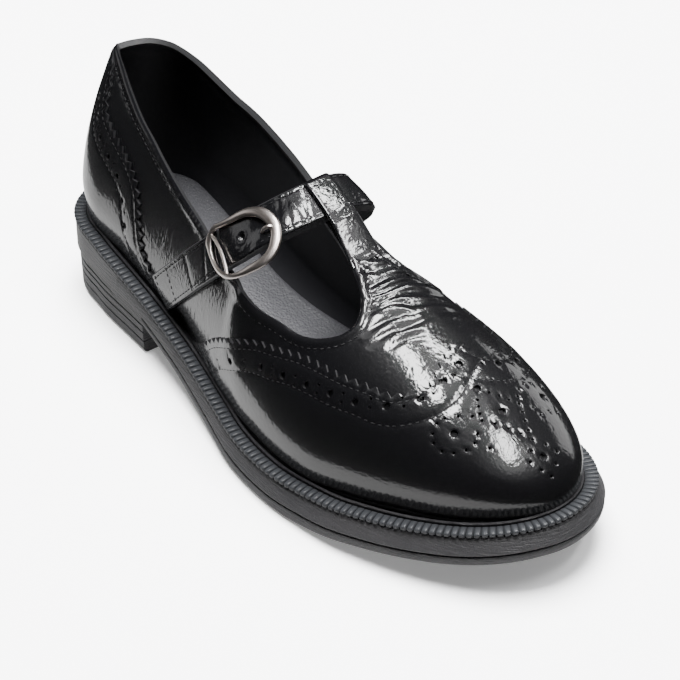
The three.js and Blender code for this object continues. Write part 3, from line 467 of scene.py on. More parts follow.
# The leather is drawn flat on a chart in millimetres: p runs forward along the ridge and q
# across to the outer side; in front of the pole both fan out round the toe.
POLE = UPPER_LENGTH - UPPER_TOE
TO_BELLY, TO_WELT, CHART_EDGE = 70.0, 10.0, 79.9
CHART_BACK = HEEL_ROUND - POLE - HEEL_ROUND * math.pi / 2
COLLAR_OUTER = [
    (CHART_BACK, 16.9), (-210, 16.9), (-205, 17), (-200, 17.3), (-195, 17.9), (-190, 18.8),
    (-185, 19.8), (-180, 21.2), (-175, 23), (-170, 25.2), (-165, 27.6), (-160, 30),
    (-155, 32.3), (-150, 34.2), (-145, 35.7), (-140, 37.2), (-135, 38.7), (-130, 39.9),
    (-125, 41), (-120, 41.8), (-115, 42.5), (-110, 42.9), (-104, 43.2), (-95.8, 43.5),
    (-88.9, 43.3), (-80.3, 42.9), (-70.9, 42), (-56.2, 40.9), (-44.7, 37.8), (-34.5, 35.1),
    (-27.2, 31.1), (-22.1, 25.6), (-21.3, 20.3), (-25.4, 15.1), (-31.8, 11.8), (-40.6, 9.4),
    (-50, 8.5), (-58.9, 8.4), (-71.5, 8.5)]
COLLAR_INNER = [
    (-71.5, -3.3), (-58.9, -2.9), (-48.7, -3.2), (-40.6, -4.5), (-33.1, -10.1), (-28.6, -15.5),
    (-24.8, -22.5), (-24, -27), (-27.8, -32.1), (-35, -36.5), (-44.9, -39.8), (-57, -42.9),
    (-70.9, -44.1), (-83, -43.6), (-92.9, -42.4), (-103, -41.8), (-110, -41.7), (-115, -41.6),
    (-120, -41.7), (-125, -41.8), (-130, -42), (-135, -42.3), (-140, -42.6), (-145, -42.7),
    (-150, -42.3), (-155, -41.7), (-160, -40.9), (-165, -40.1), (-170, -39.4), (-175, -38.6),
    (-180, -37.4), (-185, -36), (-190, -35), (-195, -34.1), (-200, -33.5), (-205, -33.3),
    (-210, -33.1), (CHART_BACK, -33.1)]
# Main walking creases on the T-bar and over the vamp: points on the chart, depth and half width
CREASES = [
    ([(-53.7, 5.9), (-49.9, 4.4), (-50.4, -0.4)], 0.45, 0.9),
    ([(-48.9, 6.9), (-45.2, 4.8), (-42.4, 1.9), (-42.4, -4.2)], 0.55, 1.0),
    ([(-42.8, 8.2), (-39.7, 4.0), (-36.7, 0.7), (-36.6, -3.6)], 0.50, 1.0),
    ([(-37.8, 9.6), (-33.8, 6.0), (-33.0, 1.4), (-33.1, -6.0)], 0.60, 1.1),
    ([(-31.5, 11.1), (-31.3, 2.3), (-30.6, -11.4)], 0.55, 0.9),
    ([(-28.9, 10.4), (-28.9, 1.5), (-25.9, -10.7), (-24, -16)], 0.65, 1.1),
    ([(-27.0, 13.5), (-24.7, 6.1), (-23.9, -5.8), (-21.4, -18.8)], 0.60, 1.0),
    ([(-23.5, 16.1), (-21.9, 6.9), (-20.8, 0.7), (-17.4, -9.9), (-15.5, -22)], 0.65, 1.3),
    ([(-21.3, 18.2), (-19.9, 10.0), (-18.4, 5.2), (-14.9, 1.4), (-12.5, -12)], 0.40, 1.0),
    ([(-16.0, 20.0), (-15.0, 12.0), (-13.5, 6.0)], 0.28, 0.9),
    ([(-11.5, 22.0), (-10.6, 14.0), (-8.8, 8.0), (-7.5, -2)], 0.25, 1.0),
    ([(-6.0, 18.0), (-5.2, 11.0), (-3.5, 6.0)], 0.20, 0.9),
    ([(-9.0, 0.0), (-8.0, -10.0), (-6.0, -20.0)], 0.22, 1.2)]
RIDGE, RIDGE_AT = 0.45, 2.1
STITCH_FROM_EDGE, BEAD, BEAD_AT, BEAD_HALF = 3.9, 0.45, 1.4, 1.3
EDGE_ROUND, FOLD_DIP, FOLD_AT, DIP_HALF, LINING_DIP = 0.35, 0.25, 3.4, 0.5, 0.25
PATENT_BLACK, EDGE_BLACK, LINING_BLACK = "#040405", "#161617", "#131315"


def upper_point(p, q, level=0.0):
    """Points of the last's form at places on the chart, at a level over the leather's face."""
    p, q, level = np.broadcast_arrays(*(np.asarray(v, float) for v in (p, q, level)))
    side = np.where(q >= 0, 1.0, -1.0)
    front = p > 0
    r = np.where(front, np.hypot(p, q), np.abs(q))
    turn = np.clip(1 - r / TO_BELLY, 0, 1) * math.pi / 2
    low = np.clip((r - TO_BELLY) / TO_WELT, 0, 1)
    swing = np.clip((HEEL_ROUND - POLE - p) / HEEL_ROUND, 0, math.pi / 2)
    theta = np.where(front, np.arctan2(np.abs(q), p), math.pi / 2)
    nominal = np.where(front, POLE + (UPPER_TOE + level) * np.cos(turn) * np.cos(theta),
                       np.where(swing > 0, HEEL_ROUND * (1 - np.sin(swing)), POLE + p))
    climb = np.arctan2(np.sin(turn), np.cos(turn) * np.sin(theta))
    at = nominal / UPPER_LENGTH
    toe = rounding(UPPER_LENGTH + level - nominal, UPPER_TOE + level, TOE_POWER)
    ends = toe * rounding(nominal, HEEL_ROUND + level, HEEL_POWER)
    (middle, half, outer, inner, belly, ridge, lean, full_out, full_in) = (
        along(LAST_SECTIONS, k, at) for k in range(1, 10))
    floor = welt_top(nominal + UPPER_BACK) - CHANNEL + GAP
    belly = floor + INSTEP * belly * (0.35 + 0.65 * toe)
    stand = UPPER_WIDTH * np.where(side > 0, outer, inner) * ends
    wide = UPPER_WIDTH * middle + side * ((UPPER_WIDTH * half + level) * ends + stand)
    ridge_x = UPPER_WIDTH * (middle + (lean - middle) * ends)
    ridge_z = belly + (INSTEP * ridge + level - belly) * toe
    full = np.where(side > 0, full_out, full_in)
    c, s = np.abs(np.cos(climb)), np.sin(climb)
    size = (c ** full + s ** full) ** (1 / full)
    x = ridge_x + (wide - ridge_x) * c / size - side * stand * low ** 2
    z = belly + (ridge_z - belly) * s / size - (belly - floor) * low
    forward = HEEL_ROUND * along(BACK_LINE, 1, z / COLLAR) - level
    keep = np.clip(1 - nominal / (BACK_REACH * HEEL_ROUND), 0, 1)
    return np.stack([x, UPPER_BACK + nominal + forward * keep ** 2, z], -1)


def chart_slopes(p, q, level=0.0):
    """How a point moves along p and along q, and the outward direction there."""
    p, q = np.broadcast_arrays(np.asarray(p, float), np.asarray(q, float))
    e = 0.05
    p0, p1 = np.maximum(p - e, CHART_BACK + 0.01), np.maximum(p + e, CHART_BACK + 0.11)
    q0, q1 = np.where(q < 0, np.minimum(q - e, -e), q - e), q + e
    q0 = np.where((q >= 0) & (q0 < 0), 0.0, q0)
    q1 = np.where((q < 0) & (q1 >= 0), -1e-6, q1)
    dp = (upper_point(p1, q, level) - upper_point(p0, q, level)) / (p1 - p0)[..., None]
    dq = (upper_point(p, q1, level) - upper_point(p, q0, level)) / (q1 - q0)[..., None]
    out = np.cross(dq, dp)
    out /= np.maximum(np.linalg.norm(out, axis=-1), 1e-9)[..., None]
    return dp, dq, out


def curve(points, spacing):
    """A smooth line through points of the chart, with a point at each spacing."""
    points = np.asarray(points, float)
    reach = np.concatenate([[0], np.cumsum(np.hypot(*np.diff(points, axis=0).T))])
    spots = np.linspace(0, reach[-1], max(2, int(round(reach[-1] / spacing)) + 1))
    return np.stack([along(np.column_stack([reach, points]), k, spots) for k in (1, 2)], 1)


def on_chart(dp, dq, step):
    """A step over the leather as a step on the chart."""
    return np.linalg.lstsq(np.stack([dp, dq], 1), step, rcond=None)[0]


def beside(line, reach):
    """The line moved to its left over the leather by a reach in millimetres."""
    line = np.asarray(line, float)
    step = np.gradient(line, axis=0)
    dp, dq, out = chart_slopes(line[:, 0], line[:, 1])
    run = dp * step[:, :1] + dq * step[:, 1:]
    left = np.cross(out, run)
    left /= np.linalg.norm(left, axis=1)[:, None]
    moved = [on_chart(a, b, side_step) for a, b, side_step in zip(dp, dq, left)]
    return line + np.array(moved) * np.reshape(reach, (-1, 1))


def ring(centre, radius, sides):
    """A round hole's outline on the chart."""
    dp, dq, out = chart_slopes(*centre)
    first = dp / np.linalg.norm(dp)
    second = np.cross(out, first)
    turns = np.arange(sides) * 2 * math.pi / sides
    around = radius * (np.cos(turns)[:, None] * first + np.sin(turns)[:, None] * second)
    return np.array([on_chart(dp, dq, step) for step in around]) + centre


def inside(points, loop):
    """Which points of the chart lie inside a closed loop."""
    x, y = points.T
    hit = np.zeros(len(points), bool)
    for (x0, y0), (x1, y1) in zip(loop, np.roll(loop, -1, 0)):
        if y0 != y1:
            hit ^= ((y0 > y) != (y1 > y)) & (x < (x1 - x0) * (y - y0) / (y1 - y0) + x0)
    return hit


def distance_to(points, line, closed=True):
    """Distance on the chart from each point to a line."""
    starts = np.asarray(line, float)
    ends = np.roll(starts, -1, 0)
    if not closed:
        starts, ends = starts[:-1], ends[:-1]
    best = np.full(len(points), 1e9)
    for a, b in zip(starts, ends):
        ab = b - a
        t = np.clip(((points - a) @ ab) / max(ab @ ab, 1e-12), 0, 1)
        best = np.minimum(best, np.hypot(*(points - a - t[:, None] * ab).T))
    return best


def cut_leather(outline, holes, spacing, fine=None, rows=()):
    """A flat piece cut on the chart: its points, triangles, cut edges and distance to them."""
    loops = [np.asarray(outline, float)] + [np.asarray(h, float) for h in holes]
    low, high = loops[0].min(0), loops[0].max(0)

    def dots(step, start, stop):
        """Places in staggered rows, for near even triangles."""
        p, q = np.meshgrid(np.arange(start[0], stop[0], step),
                           np.arange(start[1], stop[1], step * 0.87), indexing="ij")
        p = p + step / 2 * (np.arange(p.shape[1]) % 2)
        return np.stack([p.ravel(), q.ravel()], 1)

    filling = dots(spacing, low, high)
    if fine:
        step, start, stop = fine
        out = ((filling < start) | (filling > stop)).any(1)
        filling = np.concatenate([filling[out], dots(step, np.array(start), np.array(stop))])
    if len(rows):
        filling = filling[np.min([distance_to(filling, row, False) for row in rows], 0) > 0.6]
        filling = np.concatenate([filling, *rows])
    filling = filling[inside(filling, loops[0])]
    away = np.min([distance_to(filling, loop) for loop in loops], 0)
    for hole in loops[1:]:
        away[inside(filling, hole)] = 0
    filling = filling[away > 0.4]
    corners, edges = np.concatenate(loops), []
    for loop in loops:
        start = len(edges)
        edges += [(start + k, start + (k + 1) % len(loop)) for k in range(len(loop))]
    made = delaunay_2d_cdt(np.concatenate([corners, filling]).tolist(), edges, [], 0, 1e-5)
    points, triangles = np.array([tuple(v) for v in made[0]]), np.array(made[2])
    centres = points[triangles].mean(1)
    keep = inside(centres, loops[0])
    for hole in loops[1:]:
        keep &= ~inside(centres, hole)
    triangles = triangles[keep]
    a, b, c = (points[triangles[:, k]] for k in range(3))
    turned = (b[:, 0] - a[:, 0]) * (c[:, 1] - a[:, 1]) < (b[:, 1] - a[:, 1]) * (c[:, 0] - a[:, 0])
    triangles[turned] = triangles[turned][:, ::-1]
    sides = np.concatenate([triangles[:, [0, 1]], triangles[:, [1, 2]], triangles[:, [2, 0]]])
    both = {tuple(s) for s in sides.tolist()}
    rim = np.array([s for s in sides.tolist() if (s[1], s[0]) not in both])
    return points, triangles, rim, distance_to(points, loops[0])


def bell(distance, half):
    """A soft rise or dip of height 1 that fades out over its half width."""
    return np.exp(-(distance / half) ** 2)


def troughs(points, creases):
    """Depth of the creases at places on the chart: a soft trough with a low ridge beside it."""
    sunk = np.zeros(len(points))
    for line, depth, half in creases:
        line = curve(line, 1.0)
        near = distance_to(points, line, False) / half
        ends = np.minimum(np.hypot(*(points - line[0]).T), np.hypot(*(points - line[-1]).T))
        fade = 0.35 + 0.65 * np.clip(ends / 5, 0, 1)
        sunk += fade * depth * (bell(near, 1) - RIDGE * bell(near - RIDGE_AT, 1))
    return sunk


def lasted(name, flat, top, bottom, materials, sunk=0.0):
    """A leather piece pulled over the last: its face, its back and its cut edge."""
    points, triangles, rim = flat[:3]
    p, q = points.T
    out = chart_slopes(p, q)[2]
    face = upper_point(p, q, top) - out * np.reshape(sunk, (-1, 1))
    back = upper_point(p, q, bottom) - out * np.minimum(np.reshape(sunk, (-1, 1)), LINING_DIP)
    count = len(points)
    faces = triangles[:, ::-1].tolist() + (triangles + count).tolist()
    faces += [(i, j, j + count, i + count) for i, j in rim.tolist()]
    which = [0] * len(triangles) + [1] * len(triangles) + [2] * len(rim)
    which = np.minimum(which, len(materials) - 1)
    return piece_from(name, np.concatenate([face, back]), faces, materials, which,
                      np.concatenate([points, points]), 55)


def patent_leather(name, fold, fold_scale):
    """Patent leather: black dyed calf under a thick glossy film, which gives sharp white lights
    on a deep black, broken up by fine folds across the foot and a slight orange peel."""
    material, tree = finish_called(name)
    chart = add(tree, "UVMap", {}, uv_map="chart")
    lie = add(tree, "Mapping", {"Vector": chart.outputs[0], "Scale": fold_scale})
    wander = add(tree, "TexNoise", {
        "Vector": lie.outputs[0], "Scale": 1.0, "Detail": 2.5, "Roughness": 0.5,
        "Distortion": 0.6}, noise_type="RIDGED_MULTIFRACTAL")
    peel = add(tree, "TexNoise", {"Vector": chart.outputs[0], "Scale": 70.0, "Detail": 2.0})
    patches = add(tree, "TexNoise", {"Vector": chart.outputs[0], "Scale": 7.0, "Detail": 1.0})
    amount = add(tree, "MapRange", {
        "Value": patches.outputs["Fac"], "From Min": 0.35, "From Max": 0.65,
        "To Min": 0.25 * fold, "To Max": fold})
    folds = add(tree, "Math", {0: wander.outputs["Fac"], 1: amount.outputs[0]},
                operation="MULTIPLY")
    relief = add(tree, "Math", {0: peel.outputs["Fac"], 1: 0.28, 2: folds.outputs[0]},
                 operation="MULTIPLY_ADD")
    bump = add(tree, "Bump", {"Strength": 1.0, "Distance": 0.00025, "Height": relief.outputs[0]})
    face = add(tree, "BsdfPrincipled", {
        "Base Color": linear(PATENT_BLACK), "Roughness": 0.45, "IOR": 1.25, "Coat Weight": 1.0,
        "Coat Roughness": 0.10, "Coat IOR": 1.6, "Normal": bump.outputs[0],
        "Coat Normal": bump.outputs[0]})
    add(tree, "OutputMaterial", {"Surface": face.outputs[0]})
    return material


# Creased patent: walking folds break its white lights up into short dashes
vamp_patent = patent_leather("creased_patent_leather", 0.5, (55, 22, 1))

# Cut edges of the patent leather: painted black fibre, so a duller line round each piece
edge_paint, tree = finish_called("painted_leather_edge")
chart = add(tree, "UVMap", {}, uv_map="chart")
fibre = add(tree, "TexNoise", {"Vector": chart.outputs[0], "Scale": 300.0, "Detail": 2.0})
edge_bump = add(tree, "Bump", {"Strength": 0.4, "Distance": 0.0001, "Height": fibre.outputs["Fac"]})
edge_face = add(tree, "BsdfPrincipled", {
    "Base Color": linear(EDGE_BLACK), "Roughness": 0.4, "Normal": edge_bump.outputs[0]})
add(tree, "OutputMaterial", {"Surface": edge_face.outputs[0]})

# Pigskin lining: smooth coated leather, black, with a low soft shine and hair pores
lining, tree = finish_called("pigskin_lining")
chart = add(tree, "UVMap", {}, uv_map="chart")
hair = add(tree, "TexVoronoi", {"Vector": chart.outputs[0], "Scale": 90.0})
lining_bump = add(tree, "Bump", {
    "Strength": 0.15, "Distance": 0.0001, "Height": hair.outputs["Distance"]})
lining_face = add(tree, "BsdfPrincipled", {
    "Base Color": linear(LINING_BLACK), "Roughness": 0.42, "IOR": 1.45,
    "Normal": lining_bump.outputs[0]})
add(tree, "OutputMaterial", {"Surface": lining_face.outputs[0]})

# Outline on the chart: the toplines, the back seam and the edge that is lasted under
arc = np.linspace(-math.pi / 2, math.pi / 2, 190)
toe_arc = CHART_EDGE * np.stack([np.cos(arc), np.sin(arc)], 1)
side_steps = np.arange(CHART_BACK, -0.5, 1.4)
inner_welt = np.stack([side_steps, np.full(len(side_steps), -CHART_EDGE)], 1)
outer_welt = inner_welt[::-1] * (1, -1)
back_inner = np.stack([np.full(34, CHART_BACK), np.linspace(-34.4, -78.6, 34)], 1)
back_outer = np.stack([np.full(44, CHART_BACK), np.linspace(78.6, 18.2, 44)], 1)
throat_outer, throat_inner = curve(COLLAR_OUTER, 1.2), curve(COLLAR_INNER, 1.2)
upper_outline = np.concatenate([throat_outer, throat_inner, back_inner, inner_welt, toe_arc,
                                outer_welt, back_outer])
topline = np.concatenate([throat_outer, throat_inner])
lip_rows = [beside(line[2:-2], -d) for line in (throat_outer, throat_inner)
            for d in (0.5, 1.4, 2.4, 3.3)]
upper_flat = cut_leather(upper_outline, [], 1.75, fine=(0.75, (-58, -26), (6, 24)), rows=lip_rows)
from_top = distance_to(upper_flat[0], topline, False)
lip = BEAD * bell(from_top - BEAD_AT, BEAD_HALF) - EDGE_ROUND * bell(from_top, DIP_HALF) \
    - FOLD_DIP * bell(from_top - FOLD_AT, DIP_HALF)
upper = lasted("upper_leather", upper_flat, 0.0, -WALL, [vamp_patent, lining, edge_paint],
               troughs(upper_flat[0], CREASES) - lip)
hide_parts("upper")
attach(upper, "root")

# Toe cap: a wing-tip overlay of the same leather, pinked along its edge, with two sewn rows and
# a row of big and small holes between them, and a medallion of punched holes on the toe.
OVERLAY_LOW, OVERLAY_HIGH = 0.05, 1.35
TOOTH, TOOTH_DEEP = 4.1, 2.1
SEAMS, SEAM_DEEP, SEAM_HALF = (2.6, 11.0), 0.28, 0.55
EDGE_DROP, HOLE_DROP, HOLE_LIP, HOLE_RIMS = 0.30, 0.12, 0.06, (0.4, 0.35)
CAP_OUTER = [(-97, 79.9), (-89, 73.6), (-74.9, 62.4), (-58.9, 53.3), (-48.4, 47.3), (-38.5, 43.2),
             (-29.6, 39.3), (-20.8, 36.7), (-10.1, 34.5), (-2.6, 32.5), (5, 30.2), (8.5, 25),
             (9.8, 19.4), (9.1, 14.5), (7.1, 9.5), (5.3, 4.6), (3.9, -0.6)]
CAP_INNER = [(3.9, -0.6), (6.7, -4.3), (9.6, -8.6), (10.9, -14.5), (10.5, -21.8), (6.1, -30.1),
             (0.1, -33.5), (-9, -34.5), (-18.9, -36.9), (-28.8, -40.4), (-39, -45.2),
             (-48.9, -50.6), (-58.9, -55.9), (-74.9, -63.8), (-88.9, -74), (-97, -79.9)]
BIG_HOLE, SMALL_HOLE, PAIR_REACH = 1.35, 0.55, 1.5
CAP_BIG = [(-78.8, 72.2), (-59.5, 59.5), (-42.6, 51.4), (-31.5, 47.4), (-20.9, 44.1), (-10.8, 41.2),
           (-1.4, 38.9), (6.7, 33.7), (11.5, 23.9), (11.4, 13.3), (9.6, 4.2)]
CAP_BIG_INNER = [(-78.8, -73.5), (-59.5, -62.5), (-42.6, -54.0), (-31.5, -48.8), (-20.9, -44.5),
                 (-10.8, -41.6), (-1.4, -39.9), (7.4, -35.6), (13.8, -25.5), (13.6, -12.5)]
CAP_TIP_PAIR = [(11.6, 8.4), (12.0, -4.6)]
MEDALLION_BIG = [(24.4, 24.2), (17.3, 4.8), (25.7, 2.3), (26.8, -23.4), (44.7, -0.6)]
MEDALLION_SMALL = [
    (19.5, 22.7), (21.0, 18.3), (23.0, 13.9), (27.9, 17.0), (29.8, 20.5), (30.4, 25.1),
    (29.1, 29.8), (26.5, 32.8), (23.1, 32.7), (20.8, 30.3), (19.3, 26.3), (19.9, 7.9),
    (21.5, 9.3), (23.4, 10.8), (25.3, 12.0), (19.6, 2.0), (21.6, -1.0), (23.7, -3.8),
    (27.8, 8.3), (30.9, 4.9), (33.9, 1.7), (22.3, -12.4), (24.0, -9.2), (26.0, -7.2),
    (28.4, -5.8), (31.2, -4.1), (34.1, -2.4), (37.4, -1.2), (21.4, -16.8), (21.7, -21.8),
    (23.3, -28.2), (26.0, -34.5), (28.4, -38.5), (31.4, -35.0), (33.0, -26.2), (31.7, -20.5),
    (31.8, -13.9), (28.7, -12.9), (33.5, 17.1), (40.6, 2.9), (44.1, 6.9), (41.1, -5.8),
    (45.6, -9.1), (49.7, -4.5), (49.0, 4.6), (53.6, 1.5)]


def seam_dots(seams):
    """Places on and beside each seam, so that the leather can dip there."""
    return [dots for seam in seams for dots in (seam, beside(seam, 0.75), beside(seam, -0.75))]


def pressed(flat, seams, holes):
    """How far an overlay's face lies down at its cut edges, along its seams and at its holes."""
    near = np.min([distance_to(flat[0], seam, False) for seam in seams], 0)
    punched = np.min([distance_to(flat[0], hole) for hole in holes], 0)
    return EDGE_DROP * bell(flat[3], 0.3) + SEAM_DEEP * bell(near, SEAM_HALF) \
        + HOLE_DROP * bell(punched, 0.25) - HOLE_LIP * bell(punched - 0.5, 0.2)


def lengths(spots):
    """Length of a line up to each of its points."""
    return np.concatenate([[0], np.cumsum(np.linalg.norm(np.diff(spots, axis=0), axis=1))])


def pinked(line):
    """An edge cut by a pinking tool: even teeth along a line of the chart."""
    fine = curve(line, 0.4)
    reach = lengths(upper_point(fine[:, 0], fine[:, 1]))
    teeth = int(reach[-1] / TOOTH)
    marks = np.linspace(0, reach[-1], 2 * teeth + 1)
    even = np.stack([np.interp(marks, reach, fine[:, k]) for k in (0, 1)], 1)
    offsets = np.where(np.arange(len(even)) % 2, TOOTH_DEEP / 2, -TOOTH_DEEP / 2)
    offsets[[0, -1]] = 0
    return beside(even, offsets)


def between_big(big):
    """Pairs of small holes half way between big ones, side by side across the row."""
    big = np.asarray(big, float)
    halfway = (big[1:] + big[:-1]) / 2
    return np.concatenate([beside(halfway, PAIR_REACH), beside(halfway, -PAIR_REACH)]).tolist()


def punches(big, small, rim=(0.0, 0.0)):
    """Outlines of big and small round holes, or of rims about them."""
    return [ring(c, BIG_HOLE + rim[0], 14) for c in big] \
        + [ring(c, SMALL_HOLE + rim[1], 8) for c in small]


cap_edge = np.concatenate([pinked(CAP_OUTER), pinked(CAP_INNER)[1:]])
cap_welt = np.stack([np.arange(-96, -0.5, 1.5), np.full(64, -CHART_EDGE)], 1)
cap_outline = np.concatenate([cap_edge, cap_welt, toe_arc[::2], (cap_welt * (1, -1))[::-1]])
cap_big = CAP_BIG + CAP_BIG_INNER + MEDALLION_BIG
cap_small = between_big(CAP_BIG[:-1]) + between_big(CAP_BIG_INNER) + CAP_TIP_PAIR + MEDALLION_SMALL
cap_holes = punches(cap_big, cap_small)
cap_seams = [beside(curve(edge, 1.2), -reach) for edge in (CAP_OUTER, CAP_INNER) for reach in SEAMS]
cap_seams = [row[inside(row, cap_outline)] for row in cap_seams]
cap_rings = punches(cap_big, cap_small, HOLE_RIMS)
cap_rings += [beside(pinked(edge), -0.5) for edge in (CAP_OUTER, CAP_INNER)]
cap_flat = cut_leather(cap_outline, cap_holes, 1.7, rows=cap_rings + seam_dots(cap_seams))
# Smooth patent: the overlays lie flat, so their lights stay whole
smooth_patent = patent_leather("smooth_patent_leather", 0.05, (30, 30, 1))
cap = lasted("toe_cap_leather", cap_flat, OVERLAY_HIGH, OVERLAY_LOW,
             [smooth_patent, edge_paint, edge_paint], pressed(cap_flat, cap_seams, cap_holes))
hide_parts("toe_cap")
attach(cap, "root")

# Heel counter: the overlay round the back of the quarters, of the same leather, pinked and
# punched like the cap and sewn down with two rows. It is cut in an outer and an inner half.
COUNTER_EDGE = [(-190, 22.8), (-184, 27.5), (-178.4, 36.5), (-173.5, 41.5), (-168.6, 43.4),
                (-158.9, 46.7), (-150.3, 49.3), (-142.7, 53.1), (-139.5, 56.5), (-135.5, 63.6),
                (-132.8, 68.3), (-128.3, 71.5), (-120.5, 76.6), (-116.8, 79.9)]
COUNTER_BIG = [(-186.5, 39.5), (-179.5, 45.3), (-172.4, 50.1), (-163.6, 53.2), (-155.1, 56.1),
               (-149.0, 61.1), (-145.1, 66.8)]
COUNTER_TOP = {
    # under the topline at the back seam; it is lower on the inner side
    1: [(CHART_BACK, 20.4), (-207, 20.5), (-200, 20.9), (-195, 21.5)],
    -1: [(CHART_BACK, -36.6), (-207, -36.7), (-200, -37.1), (-195, -37.7)]}
COUNTER_SEAM_TOP = {1: 21, -1: 38}
INNER_START, INNER_TOP, INNER_FALL = [(-190, -38.8), (-185, -40.5)], -38.8, 0.45


def on_side(table, side):
    """A table of places on the chart, mirrored for the inner side."""
    return [(p, side * q) for p, q in table]


def counter_piece(name, side):
    """Half of the counter; the inner half keeps below its lower topline."""
    edge = pinked(on_side(COUNTER_EDGE, side))
    if side < 0:
        edge[:2] = INNER_START
        p, q = edge.T
        limit = INNER_TOP - np.maximum(0, (p - INNER_START[0][0]) * INNER_FALL)
        edge = np.column_stack([p, np.where(p < -170, np.minimum(q, limit), q)])
    welt = [(p, side * CHART_EDGE) for p in np.arange(-118.5, CHART_BACK, -1.5)]
    rear = [(CHART_BACK, side * q) for q in np.arange(78.8, COUNTER_SEAM_TOP[side], -1.5)]
    outline = np.concatenate([curve(COUNTER_TOP[side], 1.5), edge, welt, rear])
    big = on_side(COUNTER_BIG, side)
    holes = punches(big, between_big(big))
    smooth = curve(on_side(COUNTER_EDGE[1:], side), 1.2)
    seams = [beside(smooth, -side * reach) for reach in SEAMS]
    seams = [row[inside(row, outline)] for row in seams]
    rings = punches(big, between_big(big), HOLE_RIMS)
    flat = cut_leather(outline, holes, 1.7, rows=rings + seam_dots(seams))
    return lasted(name, flat, OVERLAY_HIGH, OVERLAY_LOW,
                  [smooth_patent, edge_paint, edge_paint], pressed(flat, seams, holes))


counter = counter_piece("counter_outer_leather", 1)
inner_counter = counter_piece("counter_inner_leather", -1)
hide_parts("heel_counter")
for piece in (counter, inner_counter):
    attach(piece, "root")

# Cross strap and its tab: two layers of patent leather sewn back to back, edges painted. The
# tab is stitched to the outer quarter by the welt; the strap runs through buckle and loop.
STRAP_EDGES = [
    # q, then p of the rear and of the front edge
    (-80, -131.1, -113.6), (-78, -128.4, -111.2), (-74, -123.8, -106.8), (-70, -119.9, -103.2),
    (-66, -115, -98.1), (-62, -110, -92.9), (-56, -102.3, -85.4), (-50, -94.9, -78),
    (-44, -88.1, -71), (-38, -82, -64.8), (-32, -76.8, -60.6), (-26, -73.3, -58.1),
    (-20, -71.3, -56.6), (-14, -70.5, -55.8), (-8, -70.5, -55.7), (-4, -70.7, -55.9),
    (0, -71, -56.3), (4, -71.3, -56.5), (8, -71.7, -56.8), (14, -73.2, -57.7),
    (20, -75.6, -59.2), (26, -79, -61.5), (32, -83.3, -65.2), (38, -88.3, -71.2),
    (44, -94, -77), (50, -100.2, -83.1), (56, -106.8, -89.7), (62, -113.7, -96.7),
    (66, -118.5, -101.7), (70, -123.3, -106.7), (74, -127, -110.1), (78, -131.1, -113.6),
    (80, -133.2, -115.4)]
STRAP_LOW, STRAP_HIGH, STRAP_WIDE, STRAP_STEP = 0.25, 2.7, 15.2, 0.45
TAB_TOP, TAB_FOOT, TAIL_END, INNER_FOOT = 51.8, 101.0, 50.6, -92.0
STRAP_SEAM, STRAP_SEAM_DEEP = 0.78, 0.16
# The hole beside the pin is left open; there the strap swells up through the buckle
HOLE_ROUND, HOLE_DEEP, SWELL, SWELL_AT = 1.15, 1.6, 0.9, 37.5
PIN_HOLES = [(38, 0.05)]
STRAP_FOLDS = [
    # place, slant, depth and half width
    (-6, 1.2, 0.16, 0.8), (4.5, -0.8, 0.14, 0.7), (12, 1.5, 0.16, 0.8), (15.5, -1, 0.14, 0.7),
    (19, 0.8, 0.16, 0.8), (22.5, 1.6, 0.15, 0.7), (26, -0.6, 0.14, 0.9), (-22, 2, 0.16, 1.2),
    (-30, -1, 0.16, 1.0)]
TAB_FOLDS = [(60, 1, 0.15, 0.9), (72, -1, 0.12, 1.1)]


def strap_edge(column):
    """One edge of the strap: places by their length over the shoe from the ridge."""
    q = np.linspace(-79.9, 79.9, 1200)
    p = along(STRAP_EDGES, column, q)
    reach = lengths(upper_point(p, q))
    return reach - np.interp(0, q, reach), p, q


REAR_EDGE, FRONT_EDGE = strap_edge(1), strap_edge(2)


def strap_place(s, w):
    """Chart place at s along the strap towards the outer side and w across, -1 rear to 1 front."""
    shift = np.where(s > 0, np.clip(s / 50, 0, 1) * 6.0, 0)
    ends = []
    for (reach, p, q), sign in ((REAR_EDGE, -1), (FRONT_EDGE, 1)):
        at = s + sign * shift
        ends.append((np.interp(at, reach, p), np.interp(at, reach, q)))
    share = (w + 1) / 2
    return tuple(ends[0][k] + (ends[1][k] - ends[0][k]) * share for k in (0, 1))


